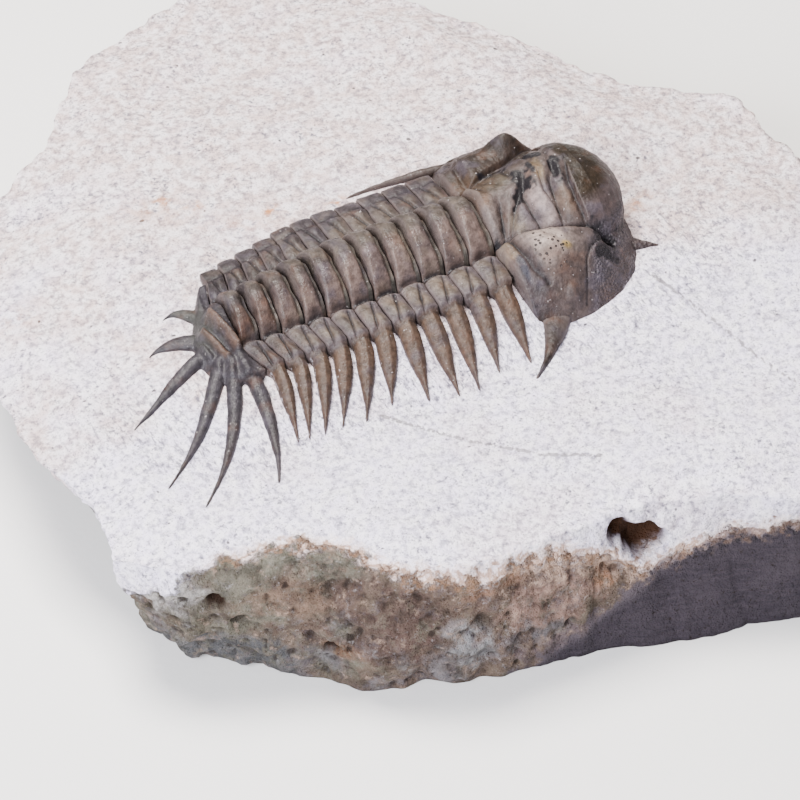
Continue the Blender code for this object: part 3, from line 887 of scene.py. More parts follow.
@dataclass(frozen=True)
class RockFinish:
    """Chalky limestone, with its brown weathered crust and one smooth grey face."""

    # The upper face mixes warm and cool at random, and as painted light it turns cool and paler on the near
    # side and toward the tail
    warm: Colour = (0.69, 0.535, 0.515)
    cool: Colour = (0.84, 0.78, 0.96)
    pale: Colour = (0.95, 0.91, 0.96)
    speck: Colour = (0.10, 0.095, 0.13)
    rust: Colour = (0.45, 0.18, 0.055)
    crack: Colour = (0.16, 0.145, 0.15)
    crest: Colour = (0.58, 0.40, 0.31)
    cream: Colour = (0.80, 0.62, 0.54)
    tan: Colour = (0.125, 0.092, 0.070)
    pink: Colour = (0.115, 0.072, 0.058)
    green: Colour = (0.150, 0.142, 0.110)
    blue: Colour = (0.17, 0.165, 0.18)
    edging: Colour = (0.30, 0.165, 0.095)
    # This brown is the painted shade in the holes of the front wall
    brown: Colour = (0.030, 0.012, 0.005)
    slate: Colour = (0.030, 0.024, 0.033)
    haze: Colour = (0.066, 0.053, 0.066)
    lavender: Colour = (0.125, 0.102, 0.118)
    # This dark colour marks real pores and specks, and is also the painted shade in the crust's hollows
    pore_and_shade: Colour = (0.018, 0.011, 0.009)
    spot_size: float = 0.55
    fine_size: float = 0.22
    fine_height: float = 0.30
    coarse_size: float = 1.0
    coarse_height: float = 1.5
    specular: float = 0.2

    def upper_face(self, bench: NodeBench, spots: Socket, fine: Socket) -> Socket:
        """Mix the colour of the pale prepared face.

        Args:
            bench: The material being wired.
            spots: Cloudy noise a few tenths of a millimetre wide.
            fine: Finer cloudy noise.

        Returns:
            The colour output.
        """
        drift = bench.ramp(bench.noise(7.0, 4.0), 0.3, 0.7, -0.35, 0.35)
        # Painted light: the rock turns cool and paler on the near side and toward the tail
        colour = bench.veil(self.warm, self.cool, bench.plus(bench.attribute("coolness"), drift), 0.0, 1.0)
        colour = bench.veil(colour, self.pale, bench.noise(1.5, 4.0, rough=0.6), 0.38, 0.66, 0.65)
        colour = bench.veil(colour, self.speck, bench.noise(0.75, 4.0, rough=0.7), 0.56, 0.32, 0.60)
        strokes = bench.stretched((1.0, 0.34, 1.0), (0.0, 0.0, 24.0))
        scratches = bench.ramp(bench.noise(0.40, 3.0, strokes, rough=0.65), 0.49, 0.34)
        tooled = bench.ramp(bench.attribute("tooled"), 0.0, 1.0, 0.0, 0.72)
        colour = bench.blend(bench.times(scratches, tooled), colour, self.speck)
        thin = bench.ramp(bench.noise(4.5, 4.0), 0.32, 0.68, 0.35, 1.0)
        colour = bench.blend(bench.times(bench.ramp(spots, 0.47, 0.33, 0.0, 0.90), thin), colour, self.speck)
        colour = bench.veil(colour, self.pore_and_shade, bench.noise(0.9, 1.0), 0.765, 0.795, 0.85)
        colour = bench.veil(colour, self.speck, fine, 0.41, 0.26, 0.85)
        orange = bench.times(bench.attribute("stain"), bench.ramp(bench.noise(1.1, 4.0), 0.36, 0.62))
        colour = bench.blend(bench.times(orange, 0.95), colour, self.rust)
        wander = bench.ramp(bench.noise(0.6, 2.0), 0.2, 0.8, -0.12, 0.14)
        return bench.veil(colour, self.crack, bench.plus(bench.attribute("crack"), wander), 0.29, 0.14, 0.75)

    def crust(self, bench: NodeBench, spots: Socket) -> Socket:
        """Mix the colour of the weathered wall, with painted shade in its hollows.

        Args:
            bench: The material being wired.
            spots: Cloudy noise a few tenths of a millimetre wide.

        Returns:
            The colour output.
        """
        first = bench.noise(5.0, 5.0, rough=0.68)
        second = bench.noise(3.6, 5.0, bench.stretched((1.0, 1.0, 1.0), (40.0, 25.0, 70.0)), rough=0.68)
        colour = bench.veil(self.tan, self.pink, first, 0.36, 0.64)
        green = bench.plus(second, bench.times(bench.attribute("greenness"), 0.16))
        colour = bench.veil(colour, self.green, green, 0.48, 0.72, 0.85)
        lower = bench.plus(first, bench.times(bench.attribute("depth"), 0.14))
        colour = bench.veil(colour, self.blue, lower, 0.58, 0.78, 0.75)
        broken = bench.ramp(bench.noise(1.3, 5.0, rough=0.72), 0.36, 0.58, 0.15, 1.0)
        patched = bench.times(bench.attribute("patched"), broken)
        colour = bench.blend(patched, colour, bench.attribute("patch", "Color"))
        colour = bench.shaded(colour, bench.ramp(bench.noise(1.9, 5.0, rough=0.7), 0.28, 0.72, 0.55, 1.55))
        crest = bench.times(bench.attribute("fringe"), 0.24)
        crest = bench.plus(bench.noise(1.4, 5.0, rough=0.72), crest)
        colour = bench.veil(colour, self.crest, crest, 0.54, 0.80, 0.90)
        colour = bench.veil(colour, self.pale, bench.noise(0.8, 5.0, rough=0.75), 0.56, 0.80, 0.40)
        colour = bench.veil(colour, self.pore_and_shade, spots, 0.42, 0.29, 0.7)
        # Painted shade: the hollows of the crust's relief are darkened
        return bench.veil(colour, self.pore_and_shade, bench.attribute("relief"), 0.02, 0.20, 0.75)

    def smooth_face(self, bench: NodeBench, spots: Socket) -> Socket:
        """Mix the colour of the smooth grey face.

        Args:
            bench: The material being wired.
            spots: Cloudy noise a few tenths of a millimetre wide.

        Returns:
            The colour output.
        """
        strokes = bench.noise(0.6, 6.0, bench.stretched((0.22, 0.22, 1.5), (0.0, 16.0, 0.0)), rough=0.8)
        colour = bench.veil(self.slate, self.haze, strokes, 0.28, 0.78)
        colour = bench.veil(colour, self.haze, bench.noise(5.0, 4.0), 0.42, 0.72, 0.55)
        colour = bench.veil(colour, self.lavender, bench.attribute("sheared"), 0.98, 0.55, 0.85)
        return bench.veil(colour, self.pore_and_shade, spots, 0.42, 0.31, 0.8)

    def material(self) -> bpy.types.Material:
        """Make the material.

        Returns:
            The finished material.
        """
        bench = NodeBench("limestone_finish")
        spots = bench.noise(self.spot_size, 4.0, rough=0.65)
        fine = bench.noise(self.fine_size, 2.0)
        below = bench.attribute("below")
        front = bench.attribute("front")
        ragged = bench.ramp(bench.noise(1.5, 5.0, rough=0.7), 0.25, 0.75, -1.5, 1.5)
        walls = bench.ramp(bench.plus(below, ragged), -0.5, 1.3)
        rim = bench.ramp(bench.plus(below, bench.ramp(spots, 0.2, 0.8, -0.9, 0.9)), -2.2, 0.2)
        top = self.upper_face(bench, spots, fine)
        top = bench.blend(bench.times(bench.times(rim, front), 0.70), top, self.cream)
        colour = bench.blend(walls, top, self.crust(bench, spots))
        wander = bench.plus(below, bench.ramp(bench.noise(0.9, 4.0), 0.25, 0.75, -1.1, 1.1))
        line = bench.ramp(bench.math("ABSOLUTE", wander), 0.95, 0.15, 0.0, 0.75)
        colour = bench.blend(bench.times(line, front), colour, self.edging)
        sheared = bench.attribute("sheared")
        cloud = bench.ramp(bench.noise(2.2, 5.0, rough=0.7), 0.25, 0.75, -0.5, 0.5)
        cloud = bench.times(cloud, bench.ramp(sheared, 0.70, 1.0, 1.0, 0.0))
        smooth = bench.ramp(bench.plus(sheared, cloud), 0.15, 0.70)
        smooth = bench.times(smooth, bench.ramp(wander, -2.2, 1.6))
        colour = bench.blend(smooth, colour, self.smooth_face(bench, spots))
        # Painted shade in the holes of the front wall
        colour = bench.blend(bench.attribute("hole"), colour, self.brown)
        normal = bench.bump(bench.plus(spots, bench.times(fine, 0.5)), self.fine_height)
        coarse = bench.noise(self.coarse_size, 5.0, rough=0.72)
        coarse = bench.times(coarse, bench.ramp(walls, 0.0, 1.0, 0.10, 1.0))
        normal = bench.bump(coarse, self.coarse_height, normal)
        roughness = bench.ramp(fine, 0.2, 0.8, 0.82, 0.98)
        return bench.finish(colour, roughness, normal, Specular_IOR_Level=self.specular)


@dataclass
class Slab:
    """The broken slab: prepared upper face, weathered walls and flat base."""

    plan: BodyPlan
    depth: float = 17.0
    centre: Point = (8.0, 0.0)
    cells: int = 230
    levels: int = 38
    crowding: float = 1.25
    rounding_start: float = 0.84
    crest: Route = (
        (56.5, -1.0), (55.5, 9.0), (44.5, 20.0), (34.0, 36.0), (27.0, 44.5), (17.0, 52.5), (8.5, 53.5),
        (-5.0, 49.5), (-11.7, 43.0), (-16.6, 36.5), (-24.0, 32.5), (-31.5, 27.0), (-35.0, 17.0),
        (-35.6, 6.0), (-36.0, -3.0), (-34.0, -14.0), (-35.0, -20.5), (-31.0, -25.5), (-22.5, -28.0),
        (-15.9, -31.5), (-10.5, -36.8), (-1.5, -39.5), (9.1, -39.3), (16.0, -39.8), (23.0, -42.5),
        (29.5, -46.0), (38.0, -44.5), (46.0, -38.0), (52.5, -27.0), (55.5, -14.0),
    )
    # Degrees around, drop of the crest, and how far the wall stands out half way down and at the base
    wall: tuple[tuple[float, float, float, float], ...] = (
        (0, 0.6, 0.2, -3.0), (25, 0.8, 2.6, -1.5), (60, 0.8, 1.4, -4.0), (100, 0.9, -0.5, -6.0),
        (150, 1.2, -2.5, -8.5), (185, 1.6, -3.5, -9.5), (205, 1.4, -1.2, -6.8), (219, 1.0, 1.2, -1.6),
        (228, 0.8, 1.4, 1.4), (237, 0.8, 1.2, 2.6), (246, 0.7, 1.2, 0.2), (262, 0.7, 0.8, 1.8),
        (272, 0.6, 0.6, 2.8), (282, 0.6, 0.2, 5.6), (291, 0.6, 0.2, 3.8), (300, 0.6, 0.4, 0.4),
        (318, 0.6, 0.4, -1.0), (338, 0.6, 0.2, -2.2),
    )
    # Length, heading, phase and height of the waves of the upper face, and the level ground round the animal
    ripples: tuple[tuple[float, float, float, float], ...] = (
        (34.0, 20.0, 0.4, 0.35), (23.0, 110.0, 1.7, 0.28), (15.0, 65.0, 3.1, 0.16),
    )
    level_middle: Point = (3.0, -2.0)
    level_radii: Point = (36.0, 24.0)
    # Layers of roughness: height, size, seed and rounds
    chips: tuple[Layer, ...] = ((0.55, 5.0, 11, 2), (0.28, 1.6, 12, 2))
    lumps: tuple[Layer, ...] = ((0.75, 8.0, 25, 3), (0.30, 1.3, 28, 2))
    face_waves: tuple[Layer, ...] = ((0.10, 6.0, 41, 2), (0.035, 1.1, 44, 2))
    # Middle, radius and depth of the holes in the front wall
    holes: tuple[tuple[float, float, float, float, float], ...] = (
        (12.2, -39.9, -3.0, 1.6, 2.4), (15.1, -40.7, -5.0, 2.1, 3.0), (13.6, -40.3, -4.2, 1.7, 2.8),
        (10.9, -40.4, -7.2, 1.4, 0.8), (-27.2, -27.3, -5.4, 1.2, 1.7), (-17.1, -33.2, -11.4, 0.9, 1.6),
        (-6.4, -39.3, -8.7, 0.5, 0.9),
    )
    # X of the smooth face's border at its top, how much it moves with depth, and where the face fades out
    sheared_border: Triple = (30.0, 1.88, 9.0)
    sheared_back: Point = (12.0, 16.0)
    sheared_end: Point = (62.0, 6.0)
    # How far below the crest the crust begins, at places along X
    crust_line: Route = (
        (-37.0, 9.0), (-32.3, 4.8), (-30.7, 1.4), (-28.5, 0.0), (-25.0, -1.0), (-21.4, -1.6), (-18.0, -1.6),
        (-15.5, -1.2), (-13.0, -0.6), (-11.0, 0.5), (-6.5, 1.3), (-3.6, 1.5), (0.0, 1.2), (3.0, 1.6),
        (6.5, 2.4), (10.0, 4.0), (14.0, 7.4), (19.0, 6.6), (24.0, 5.0), (28.0, 3.9), (33.0, 3.2), (45.0, 2.6),
    )
    cracks: tuple[Route, ...] = (
        ((32.5, -11.0), (33.6, -15.6), (35.0, -21.2), (36.2, -26.0), (37.7, -32.8)),
        ((-2.8, -16.5), (0.4, -20.5), (3.6, -24.0), (8.9, -29.1), (14.3, -32.0)),
    )
    # Orange stains: middle, radii, turn and strength
    stains: tuple[Mound, ...] = (
        ((-11.2, 20.4), (4.2, 1.6), -35.0, 0.42), ((-3.5, 14.5), (4.5, 1.8), -30.0, 0.38),
        ((37.0, -1.1), (2.2, 1.0), 20.0, 0.7), ((-30.0, 14.0), (3.0, 1.6), 10.0, 0.4),
        ((-6.8, 19.0), (1.0, 0.7), 0.0, 1.4), ((0.2, 14.5), (1.0, 0.7), 0.0, 1.2),
        ((7.3, 12.5), (1.1, 0.7), 0.0, 1.2), ((-9.5, 21.3), (1.0, 0.7), 0.0, 1.4),
    )
    # Colour patches of the front wall's crust: middle and radii along X and Z, and colour. The third and
    # fourth, low on the left, are made darker as painted shade
    patches: tuple[tuple[Point, Point, Colour], ...] = (
        ((-18.4, -1.2), (6.0, 2.8), (0.150, 0.140, 0.110)), ((-21.2, -5.4), (4.6, 2.4), (0.19, 0.125, 0.090)),
        ((-29.4, -8.5), (3.4, 2.8), (0.07, 0.058, 0.042)), ((-25.0, -14.0), (8.0, 3.8), (0.085, 0.085, 0.09)),
        ((-16.6, -11.4), (1.9, 1.4), (0.22, 0.125, 0.08)), ((-11.6, -8.0), (4.8, 6.5), (0.095, 0.06, 0.05)),
        ((-5.0, -11.5), (3.2, 4.0), (0.24, 0.235, 0.245)), ((3.8, -7.6), (6.5, 4.6), (0.24, 0.15, 0.122)),
        ((6.5, -14.6), (7.5, 2.6), (0.120, 0.088, 0.092)), ((10.6, -7.4), (1.9, 1.6), (0.38, 0.20, 0.12)),
        ((-31.5, -4.5), (3.5, 3.5), (0.36, 0.34, 0.33)), ((-1.0, -3.2), (5.0, 2.0), (0.22, 0.125, 0.085)),
    )

    def around(self, angles: Array, column: int) -> Array:
        """Read a column of the wall table.

        Args:
            angles: Directions from the map centre.
            column: Number of the column.

        Returns:
            The value in each direction.
        """
        rows = np.array(self.wall, dtype=float)
        turn = np.radians(np.concatenate([rows[:, 0], rows[:1, 0] + 360.0]))
        values = np.concatenate([rows[:, column], rows[:1, column]])
        return np.interp(np.mod(angles, 2.0 * math.pi), turn, values)

    def crest_radius(self, angles: Array) -> Array:
        """Measure how far the broken edge lies from the map centre.

        Args:
            angles: Directions from the map centre.

        Returns:
            The distance in each direction.
        """
        places = np.array(self.crest) - np.array(self.centre)
        bearing = np.mod(np.arctan2(places[:, 1], places[:, 0]), 2.0 * math.pi)
        order = np.argsort(bearing)
        bearing = bearing[order]
        places = places[order]
        turn = np.concatenate([bearing[-1:] - 2.0 * math.pi, bearing, bearing[:1] + 2.0 * math.pi])
        loop = np.concatenate([places[-1:], places, places[:1]])
        wanted = np.mod(angles, 2.0 * math.pi)
        radius = np.hypot(np.interp(wanted, turn, loop[:, 0]), np.interp(wanted, turn, loop[:, 1]))
        ring = stack(radius * np.cos(wanted), radius * np.sin(wanted), 0.0)
        return radius + layered(ring, self.chips)

    def ripple_height(self, x: Array, y: Array) -> Array:
        """Give the gentle waves of the upper face, level around the animal.

        Args:
            x: X of each point.
            y: Y of each point.

        Returns:
            The height at each point.
        """
        total = np.zeros_like(x)
        for length, heading, phase, height in self.ripples:
            turn = math.radians(heading)
            run = x * math.cos(turn) + y * math.sin(turn)
            total = total + height * np.sin(2.0 * math.pi * run / length + phase)
        (east, north), (long, wide) = self.level_middle, self.level_radii
        away = np.hypot((x - east) / long, (y - north) / wide)
        return total * smooth_step((away - 1.0) / 0.35)

    def sheared_share(self, x: Array, y: Array, z: Array) -> Array:
        """Find the smooth grey face at the right of the front wall.

        Args:
            x: X of each point.
            y: Y of each point.
            z: Z of each point.

        Returns:
            1 on the smooth face and 0 off it.
        """
        border, slant, length = self.sheared_border
        side = smooth_step((x - border + slant * (-z - 1.0)) / length + 0.45)
        back = smooth_step((-y - self.sheared_back[0]) / self.sheared_back[1])
        return side * back * smooth_step((self.sheared_end[0] - x) / self.sheared_end[1])

    def build(self) -> Workpiece:
        """Model the slab and store what its finish reads.

        Returns:
            The finished piece.
        """
        piece = Workpiece.sheet("limestone_slab", self.cells, self.cells)
        piece.draw_walls(self.levels)
        unit = piece.points()
        level = -unit[:, 2]
        a, b = (np.sign(unit[:, axis]) * np.abs(unit[:, axis]) ** self.crowding for axis in (0, 1))
        disc_x = a * np.sqrt(1.0 - 0.5 * b * b)
        disc_y = b * np.sqrt(1.0 - 0.5 * a * a)
        share = np.hypot(disc_x, disc_y)
        angle = np.arctan2(disc_y, disc_x)
        edge = smooth_step((share - self.rounding_start) / (1.0 - self.rounding_start))
        out = self.around(angle, 2) * 4.0 * level * (1.0 - level) + self.around(angle, 3) * level * level
        radius = self.crest_radius(angle) * share + out
        x = self.centre[0] + radius * np.cos(angle)
        y = self.centre[1] + radius * np.sin(angle)
        drop = self.around(angle, 1)
        top = self.plan.bed_height(x, y) + self.ripple_height(x, y) * (1.0 - edge) - edge * drop
        z = np.where(level > 0.0, mix(-drop, -self.depth, level), top)
        piece.move_points(stack(x, y, z))
        piece.face_outward()
        walls = smooth_step(level * 14.0)
        sheared = self.sheared_share(x, y, z) * walls
        self.roughen(piece, walls, sheared, level, edge)
        self.store(piece, walls, sheared)
        return piece

    def roughen(self, piece: Workpiece, walls: Array, sheared: Array, level: Array, edge: Array) -> None:
        """Break up the surfaces along their normals, sink the holes, and store their painted shade.

        Args:
            piece: The slab.
            walls: 1 on the walls.
            sheared: 1 on the smooth face.
            level: Share of the way down a wall.
            edge: Nearness to the crest, on the upper face.
        """
        places = piece.points()
        folds = 1.0 - 2.0 * np.abs(grain(places, 5.2, 21, 4))
        pocks = -1.1 * np.clip(grain(places, 1.7, 31, 2) - 0.38, 0.0, 1.0)
        rough = 1.05 * (layered(places, self.lumps) + 0.62 * folds) + 1.1 * pocks
        rough = rough * (1.0 - 0.90 * sheared) * smooth_step((1.0 - level) / 0.08) * smooth_step(level * 6.0)
        face = layered(places, self.face_waves) + 0.45 * grain(places, 2.2, 47, 4) * edge ** 3
        hole = np.zeros(len(places))
        sink = np.zeros(len(places))
        for *place, radius, depth in self.holes:
            away = np.linalg.norm(places - np.array(place), axis=1)
            away = away * (1.0 + 0.12 * grain(places, 1.4, 51, 2))
            sunk = smooth_step(1.6 * (1.0 - away / (1.2 * radius)))
            sink = np.maximum(sink, depth * sunk)
            # Painted shade: the deeper a hole, the darker its colour
            hole = np.maximum(hole, smooth_step(sunk * 1.6 - 0.1) * min(1.0, max(depth - 0.8, 0.0)))
        piece.set_values(hole=hole)
        piece.push(np.where(level >= 1.0, 0.0, mix(face, rough, walls) - sink))

    def store(self, piece: Workpiece, walls: Array, sheared: Array) -> None:
        """Store where each finish lies.

        Args:
            piece: The slab.
            walls: 1 on the walls.
            sheared: 1 on the smooth face.
        """
        places = piece.points()
        x, y, z = places.T
        stain = np.zeros(len(places))
        for place, radii, turn, strength in self.stains:
            stain = np.maximum(stain, strength * mound(x, y, place, radii, turn))
        crack = np.min([line_distance(x, y, route) for route in self.cracks], axis=0)
        span = np.hypot(x - self.centre[0], y - self.centre[1])
        lip = self.crest_radius(np.arctan2(y - self.centre[1], x - self.centre[0]))
        down = np.where(walls > 0.01, np.maximum(-z - 0.7, 0.0), np.minimum(span - lip, 0.0))
        below = down - np.interp(x, *np.array(self.crust_line).T) - 6.0 * smooth_step(y / 8.0)
        patch = np.tile(np.array(RockFinish.tan), (len(places), 1))
        patched = np.zeros(len(places))
        for middle, radii, colour in self.patches:
            share = mound(x, z, middle, radii) * (y < -15.0) + 0.40 * grain(places, 2.0, 67, 4)
            share = smooth_step((share - 0.25) / 0.40)
            patch = tinted(patch, colour, share)
            patched = np.maximum(patched, share)
        piece.set_colour("patch", patch)
        away = np.hypot(x - np.clip(x, -14.0, 30.0), y)
        piece.set_values(
            patched=patched,
            below=below + 0.7 * grain(places, 2.6, 61, 3),
            front=smooth_step((-y - 22.0) / 6.0) * smooth_step((x + 30.0) / 6.0),
            fringe=smooth_step((5.0 - below) / 5.0) * smooth_step((x + 4.0) / 8.0),
            depth=smooth_step(-z / self.depth),
            greenness=smooth_step((-12.0 - x) / 12.0),
            sheared=sheared,
            tooled=smooth_step((24.0 - away) / 10.0) * smooth_step((1.0 - y) / 7.0),
            stain=np.clip(stain, 0.0, 1.0),
            crack=crack,
            # Painted light: where the rock is painted cool and paler
            coolness=smooth_step((-2.0 - y) / 14.0) * 0.9 + smooth_step((-10.0 - x) / 20.0) * 0.4,
            relief=piece.relief(6),
        )


@dataclass
class SpineShape:
    """One spine of the head or tail, lying on the rock: root, bend and tip in plan, and root width."""

    root: Point
    bend: Point
    tip: Point
    width: float
    thickness: float = 1.1
    taper: float = 2.2
    tip_width: float = 0.3
    tip_thickness: float = 0.35
    tip_rounding: float = 0.04
    lift: float = 0.1
    sunk: float = 0.25
    underside: float = 0.35

    def build(self, name: str, plan: BodyPlan, sides: int = 20, rings: int = 60) -> Workpiece:
        """Bend a rod along the spine's route and taper it.

        Args:
            name: Name of the piece.
            plan: The animal's measures.
            sides: Faces around the rod.
            rings: Cuts along the rod.

        Returns:
            The spine as a closed piece.
        """
        piece = Workpiece.rod(name, sides, rings)
        side, up, run = piece.points().T
        share = 0.5 * (run + 1.0)
        weights = ((1.0 - share) ** 2, 2.0 * share * (1.0 - share), share ** 2)
        stops = (self.root, self.bend, self.tip)
        line = [sum(weight * stop[axis] for weight, stop in zip(weights, stops)) for axis in (0, 1)]
        slope = [2.0 * mix(self.bend[axis] - self.root[axis], self.tip[axis] - self.bend[axis], share)
                 for axis in (0, 1)]
        length = np.hypot(*slope)
        point = np.sqrt(np.clip((1.0 - share) / self.tip_rounding, 0.06, 1.0))
        half = 0.5 * point * mix(self.width * (1.0 - share ** self.taper), self.tip_width, share ** 3)
        tall = point * mix(self.thickness, self.tip_thickness, share)
        round_top = np.where(up > 0.0, np.abs(up) ** 0.8, -np.abs(up) * self.underside)
        x = line[0] - slope[1] / length * side * half
        y = line[1] + slope[0] / length * side * half
        z = plan.bed_height(*line) + self.lift - self.sunk * share + tall * round_top
        piece.move_points(stack(x, y, z))
        return piece


@dataclass
class Plate:
    """What every plate of the animal's shell shares: its colours and how it is finished."""

    plan: BodyPlan
    brown: Colour = (0.125, 0.094, 0.088)
    tan: Colour = (0.215, 0.165, 0.125)
    plum: Colour = (0.125, 0.098, 0.112)
    grey: Colour = (0.092, 0.080, 0.094)
    moss: Colour = (0.062, 0.064, 0.054)
    # This olive colour is painted shade on the crest and far flank of a ring
    olive_shade: Colour = (0.085, 0.072, 0.052)
    russet: Colour = (0.155, 0.088, 0.062)
    smudge: Colour = (0.046, 0.036, 0.040)
    tone: float = 0.58
    # How far the plates' undersides lie below the rock
    skirt: float = 0.35

    def grow(self, piece: Workpiece, name: str, spines: tuple[SpineShape, ...]) -> None:
        """Join spines to the plate, and turn the faces of the whole outward.

        Args:
            piece: The plate.
            name: What the spines' names begin with.
            spines: The spines.
        """
        parts = [spine.build(f"{name}_{place}", self.plan) for place, spine in enumerate(spines)]
        piece.take_in(parts)
        piece.face_outward()

    def wear(self, piece: Workpiece, strength: float, seed: int) -> None:
        """Make the surface a little uneven along its normals."""
        piece.push(strength * layered(piece.points(), ((0.055, 1.4, seed, 2), (0.022, 0.45, seed + 5, 2))))

    def store(self, piece: Workpiece, tint: Array, shelter: Array | float = 0.0, **values: Array) -> None:
        """Store the colour and the values that the shell's finish reads.

        Args:
            piece: The plate.
            tint: Its colour at each vertex.
            shelter: 1 where its ridges aren't rubbed pale.
            values: The other values, each 0 where it isn't given.
        """
        piece.set_colour("tint", tint * self.tone)
        relief = np.maximum(piece.relief(3) + 0.7 * piece.relief(9), -1.0 + shelter)
        plain = dict.fromkeys(("black", "pitted", "dust", "gloss", "granular"), np.zeros(len(tint)))
        piece.set_values(relief=relief, **(plain | values))


@dataclass
class ThoraxSegment(Plate):
    """One segment: arched axial ring, flat inner pleurae and dagger-shaped outer spines."""

    number: int = 0
    cells: tuple[int, int] = (230, 36)
    gap: float = 0.10
    reach: tuple[float, ...] = (8.1, 8.0, 9.2, 9.0, 8.1, 7.0, 7.8, 7.7, 8.1, 8.1, 8.1)
    far_reach: float = 2.3
    sweep: tuple[float, ...] = (1.2, 1.9, 2.0, 1.4, 1.7, 2.8, 3.6, 3.8, 3.6, 3.0, 2.0)
    sweep_power: float = 1.3
    root_width: Point = (2.3, 1.7)
    tip_width: float = 0.3
    taper: float = 2.2
    spine_blend: float = 0.8
    spine_thickness: Point = (1.05, 0.32)
    spine_lift: float = 0.30
    # Height, place and width of the keel along a spine
    keel: Triple = (0.10, 0.25, 0.22)
    waist: float = 0.94
    # Place from a ring's rear edge to its front, and its share of the ring's rise at the head and at the tail
    profile: tuple[Triple, ...] = (
        (-1.0, 0.66, 0.45), (-0.95, 0.84, 0.70), (-0.86, 0.95, 0.90), (-0.68, 1.0, 0.99), (-0.3, 1.01, 1.0),
        (0.0, 0.995, 0.95), (0.25, 0.965, 0.85), (0.42, 0.90, 0.70), (0.53, 0.76, 0.54), (0.62, 0.63, 0.43),
        (0.72, 0.575, 0.38), (0.86, 0.56, 0.37), (0.94, 0.53, 0.35), (1.0, 0.46, 0.30),
    )
    # How far a ring bulges outward, and depth and width of the furrow beside it
    bulge: float = 0.30
    ring_furrow: Point = (0.40, 0.24)
    # Place of the slanting furrow of a pleura at the ring and at the fulcrum, its depth and its width
    pleural_furrow: Point = (0.62, -0.45)
    pleural_cut: Point = (0.22, 0.11)
    # Nodules of a pleura: middle, radii of the form, and radii of its tan colour
    knobs: tuple[tuple[Point, Point, Point], ...] = (
        ((0.34, -0.35), (0.26, 0.42), (0.34, 0.60)), ((0.68, 0.40), (0.26, 0.38), (0.34, 0.52)),
    )
    knob_height: float = 0.20
    spine_warmth: Triple = (0.16, -0.04, -0.20)

    def build(self) -> Workpiece:
        """Model the segment and store what its finish reads.

        Returns:
            The finished piece.
        """
        piece = Workpiece.sheet(f"segment_{self.number + 1:02d}", *self.cells)
        piece.thicken()
        across, v, depth = piece.points().T
        lower = depth < -0.5
        plan = self.plan
        centre = float(np.mean(plan.edges()[self.number:self.number + 2]))
        axis, rise = plan.ring_shape(centre)
        ends = [float(plan.fulcrum(centre, side)) + reach
                for side, reach in ((-1.0, self.reach[self.number]), (1.0, self.far_reach))]
        y = mix(-ends[0], ends[1], 0.5 * (across + 1.0))
        near = (y < 0.0).astype(float)
        size = np.abs(y)
        fulcrum = plan.fulcrum(centre, y)
        reach = np.where(y < 0.0, self.reach[self.number], self.far_reach)
        share = np.clip((size - fulcrum) / reach, 0.0, 1.0)
        front = plan.joint_line(self.number, y) - 0.5 * self.gap
        rear = plan.joint_line(self.number + 1, y) + 0.5 * self.gap
        lean = self.sweep[self.number] * reach / self.reach[self.number]
        narrow = smooth_step((size - fulcrum + self.spine_blend) / self.spine_blend) * near
        root = mix(*self.root_width, plan.rearness(centre))
        swollen = mix(self.waist, 1.0, smooth_step(share / 0.28))
        spine_width = mix(root * (1.0 - share ** self.taper) * swollen, self.tip_width, share ** 3)
        spine_width = spine_width * np.sqrt(np.clip((1.0 - share) / 0.05, 0.05, 1.0))
        shingle = np.sqrt(np.clip(1.0 - 0.9 * share ** 5, 0.0, 1.0))
        width = mix((front - rear) * shingle, np.minimum(spine_width, front - rear), narrow)
        x = 0.5 * (front + rear) - near * lean * share ** self.sweep_power + 0.5 * width * v
        bed = plan.bed_height(x, y)
        plate = plan.pleura_top(x) + self.plate_relief(y, v, axis, rise, fulcrum)
        dome = 0.12 + 0.88 * np.clip(1.0 - v * v, 0.0, 1.0) ** 0.55
        keel = self.keel[0] * groove(v - self.keel[1], self.keel[2]) * (1.0 - share)
        spine = bed + self.spine_lift * (1.0 - share) + mix(*self.spine_thickness, share) * (dome + keel)
        far_end = bed - 0.3 + (plate - bed + 0.3) * np.sqrt(np.clip(1.0 - share ** 2.4, 0.0, 1.0))
        top = mix(mix(far_end, plate, near), spine, narrow)
        piece.move_points(stack(x, y, np.where(lower, bed - self.skirt, np.maximum(top, bed - 0.3))))
        piece.face_outward()
        self.wear(piece, 1.0, 60 + self.number)
        piece.push(0.13 * grain(piece.points(), 2.1, 140 + self.number, 2) * (1.0 - narrow) * ~lower)
        self.store_finish(piece, v, axis, fulcrum, share, narrow)
        return piece

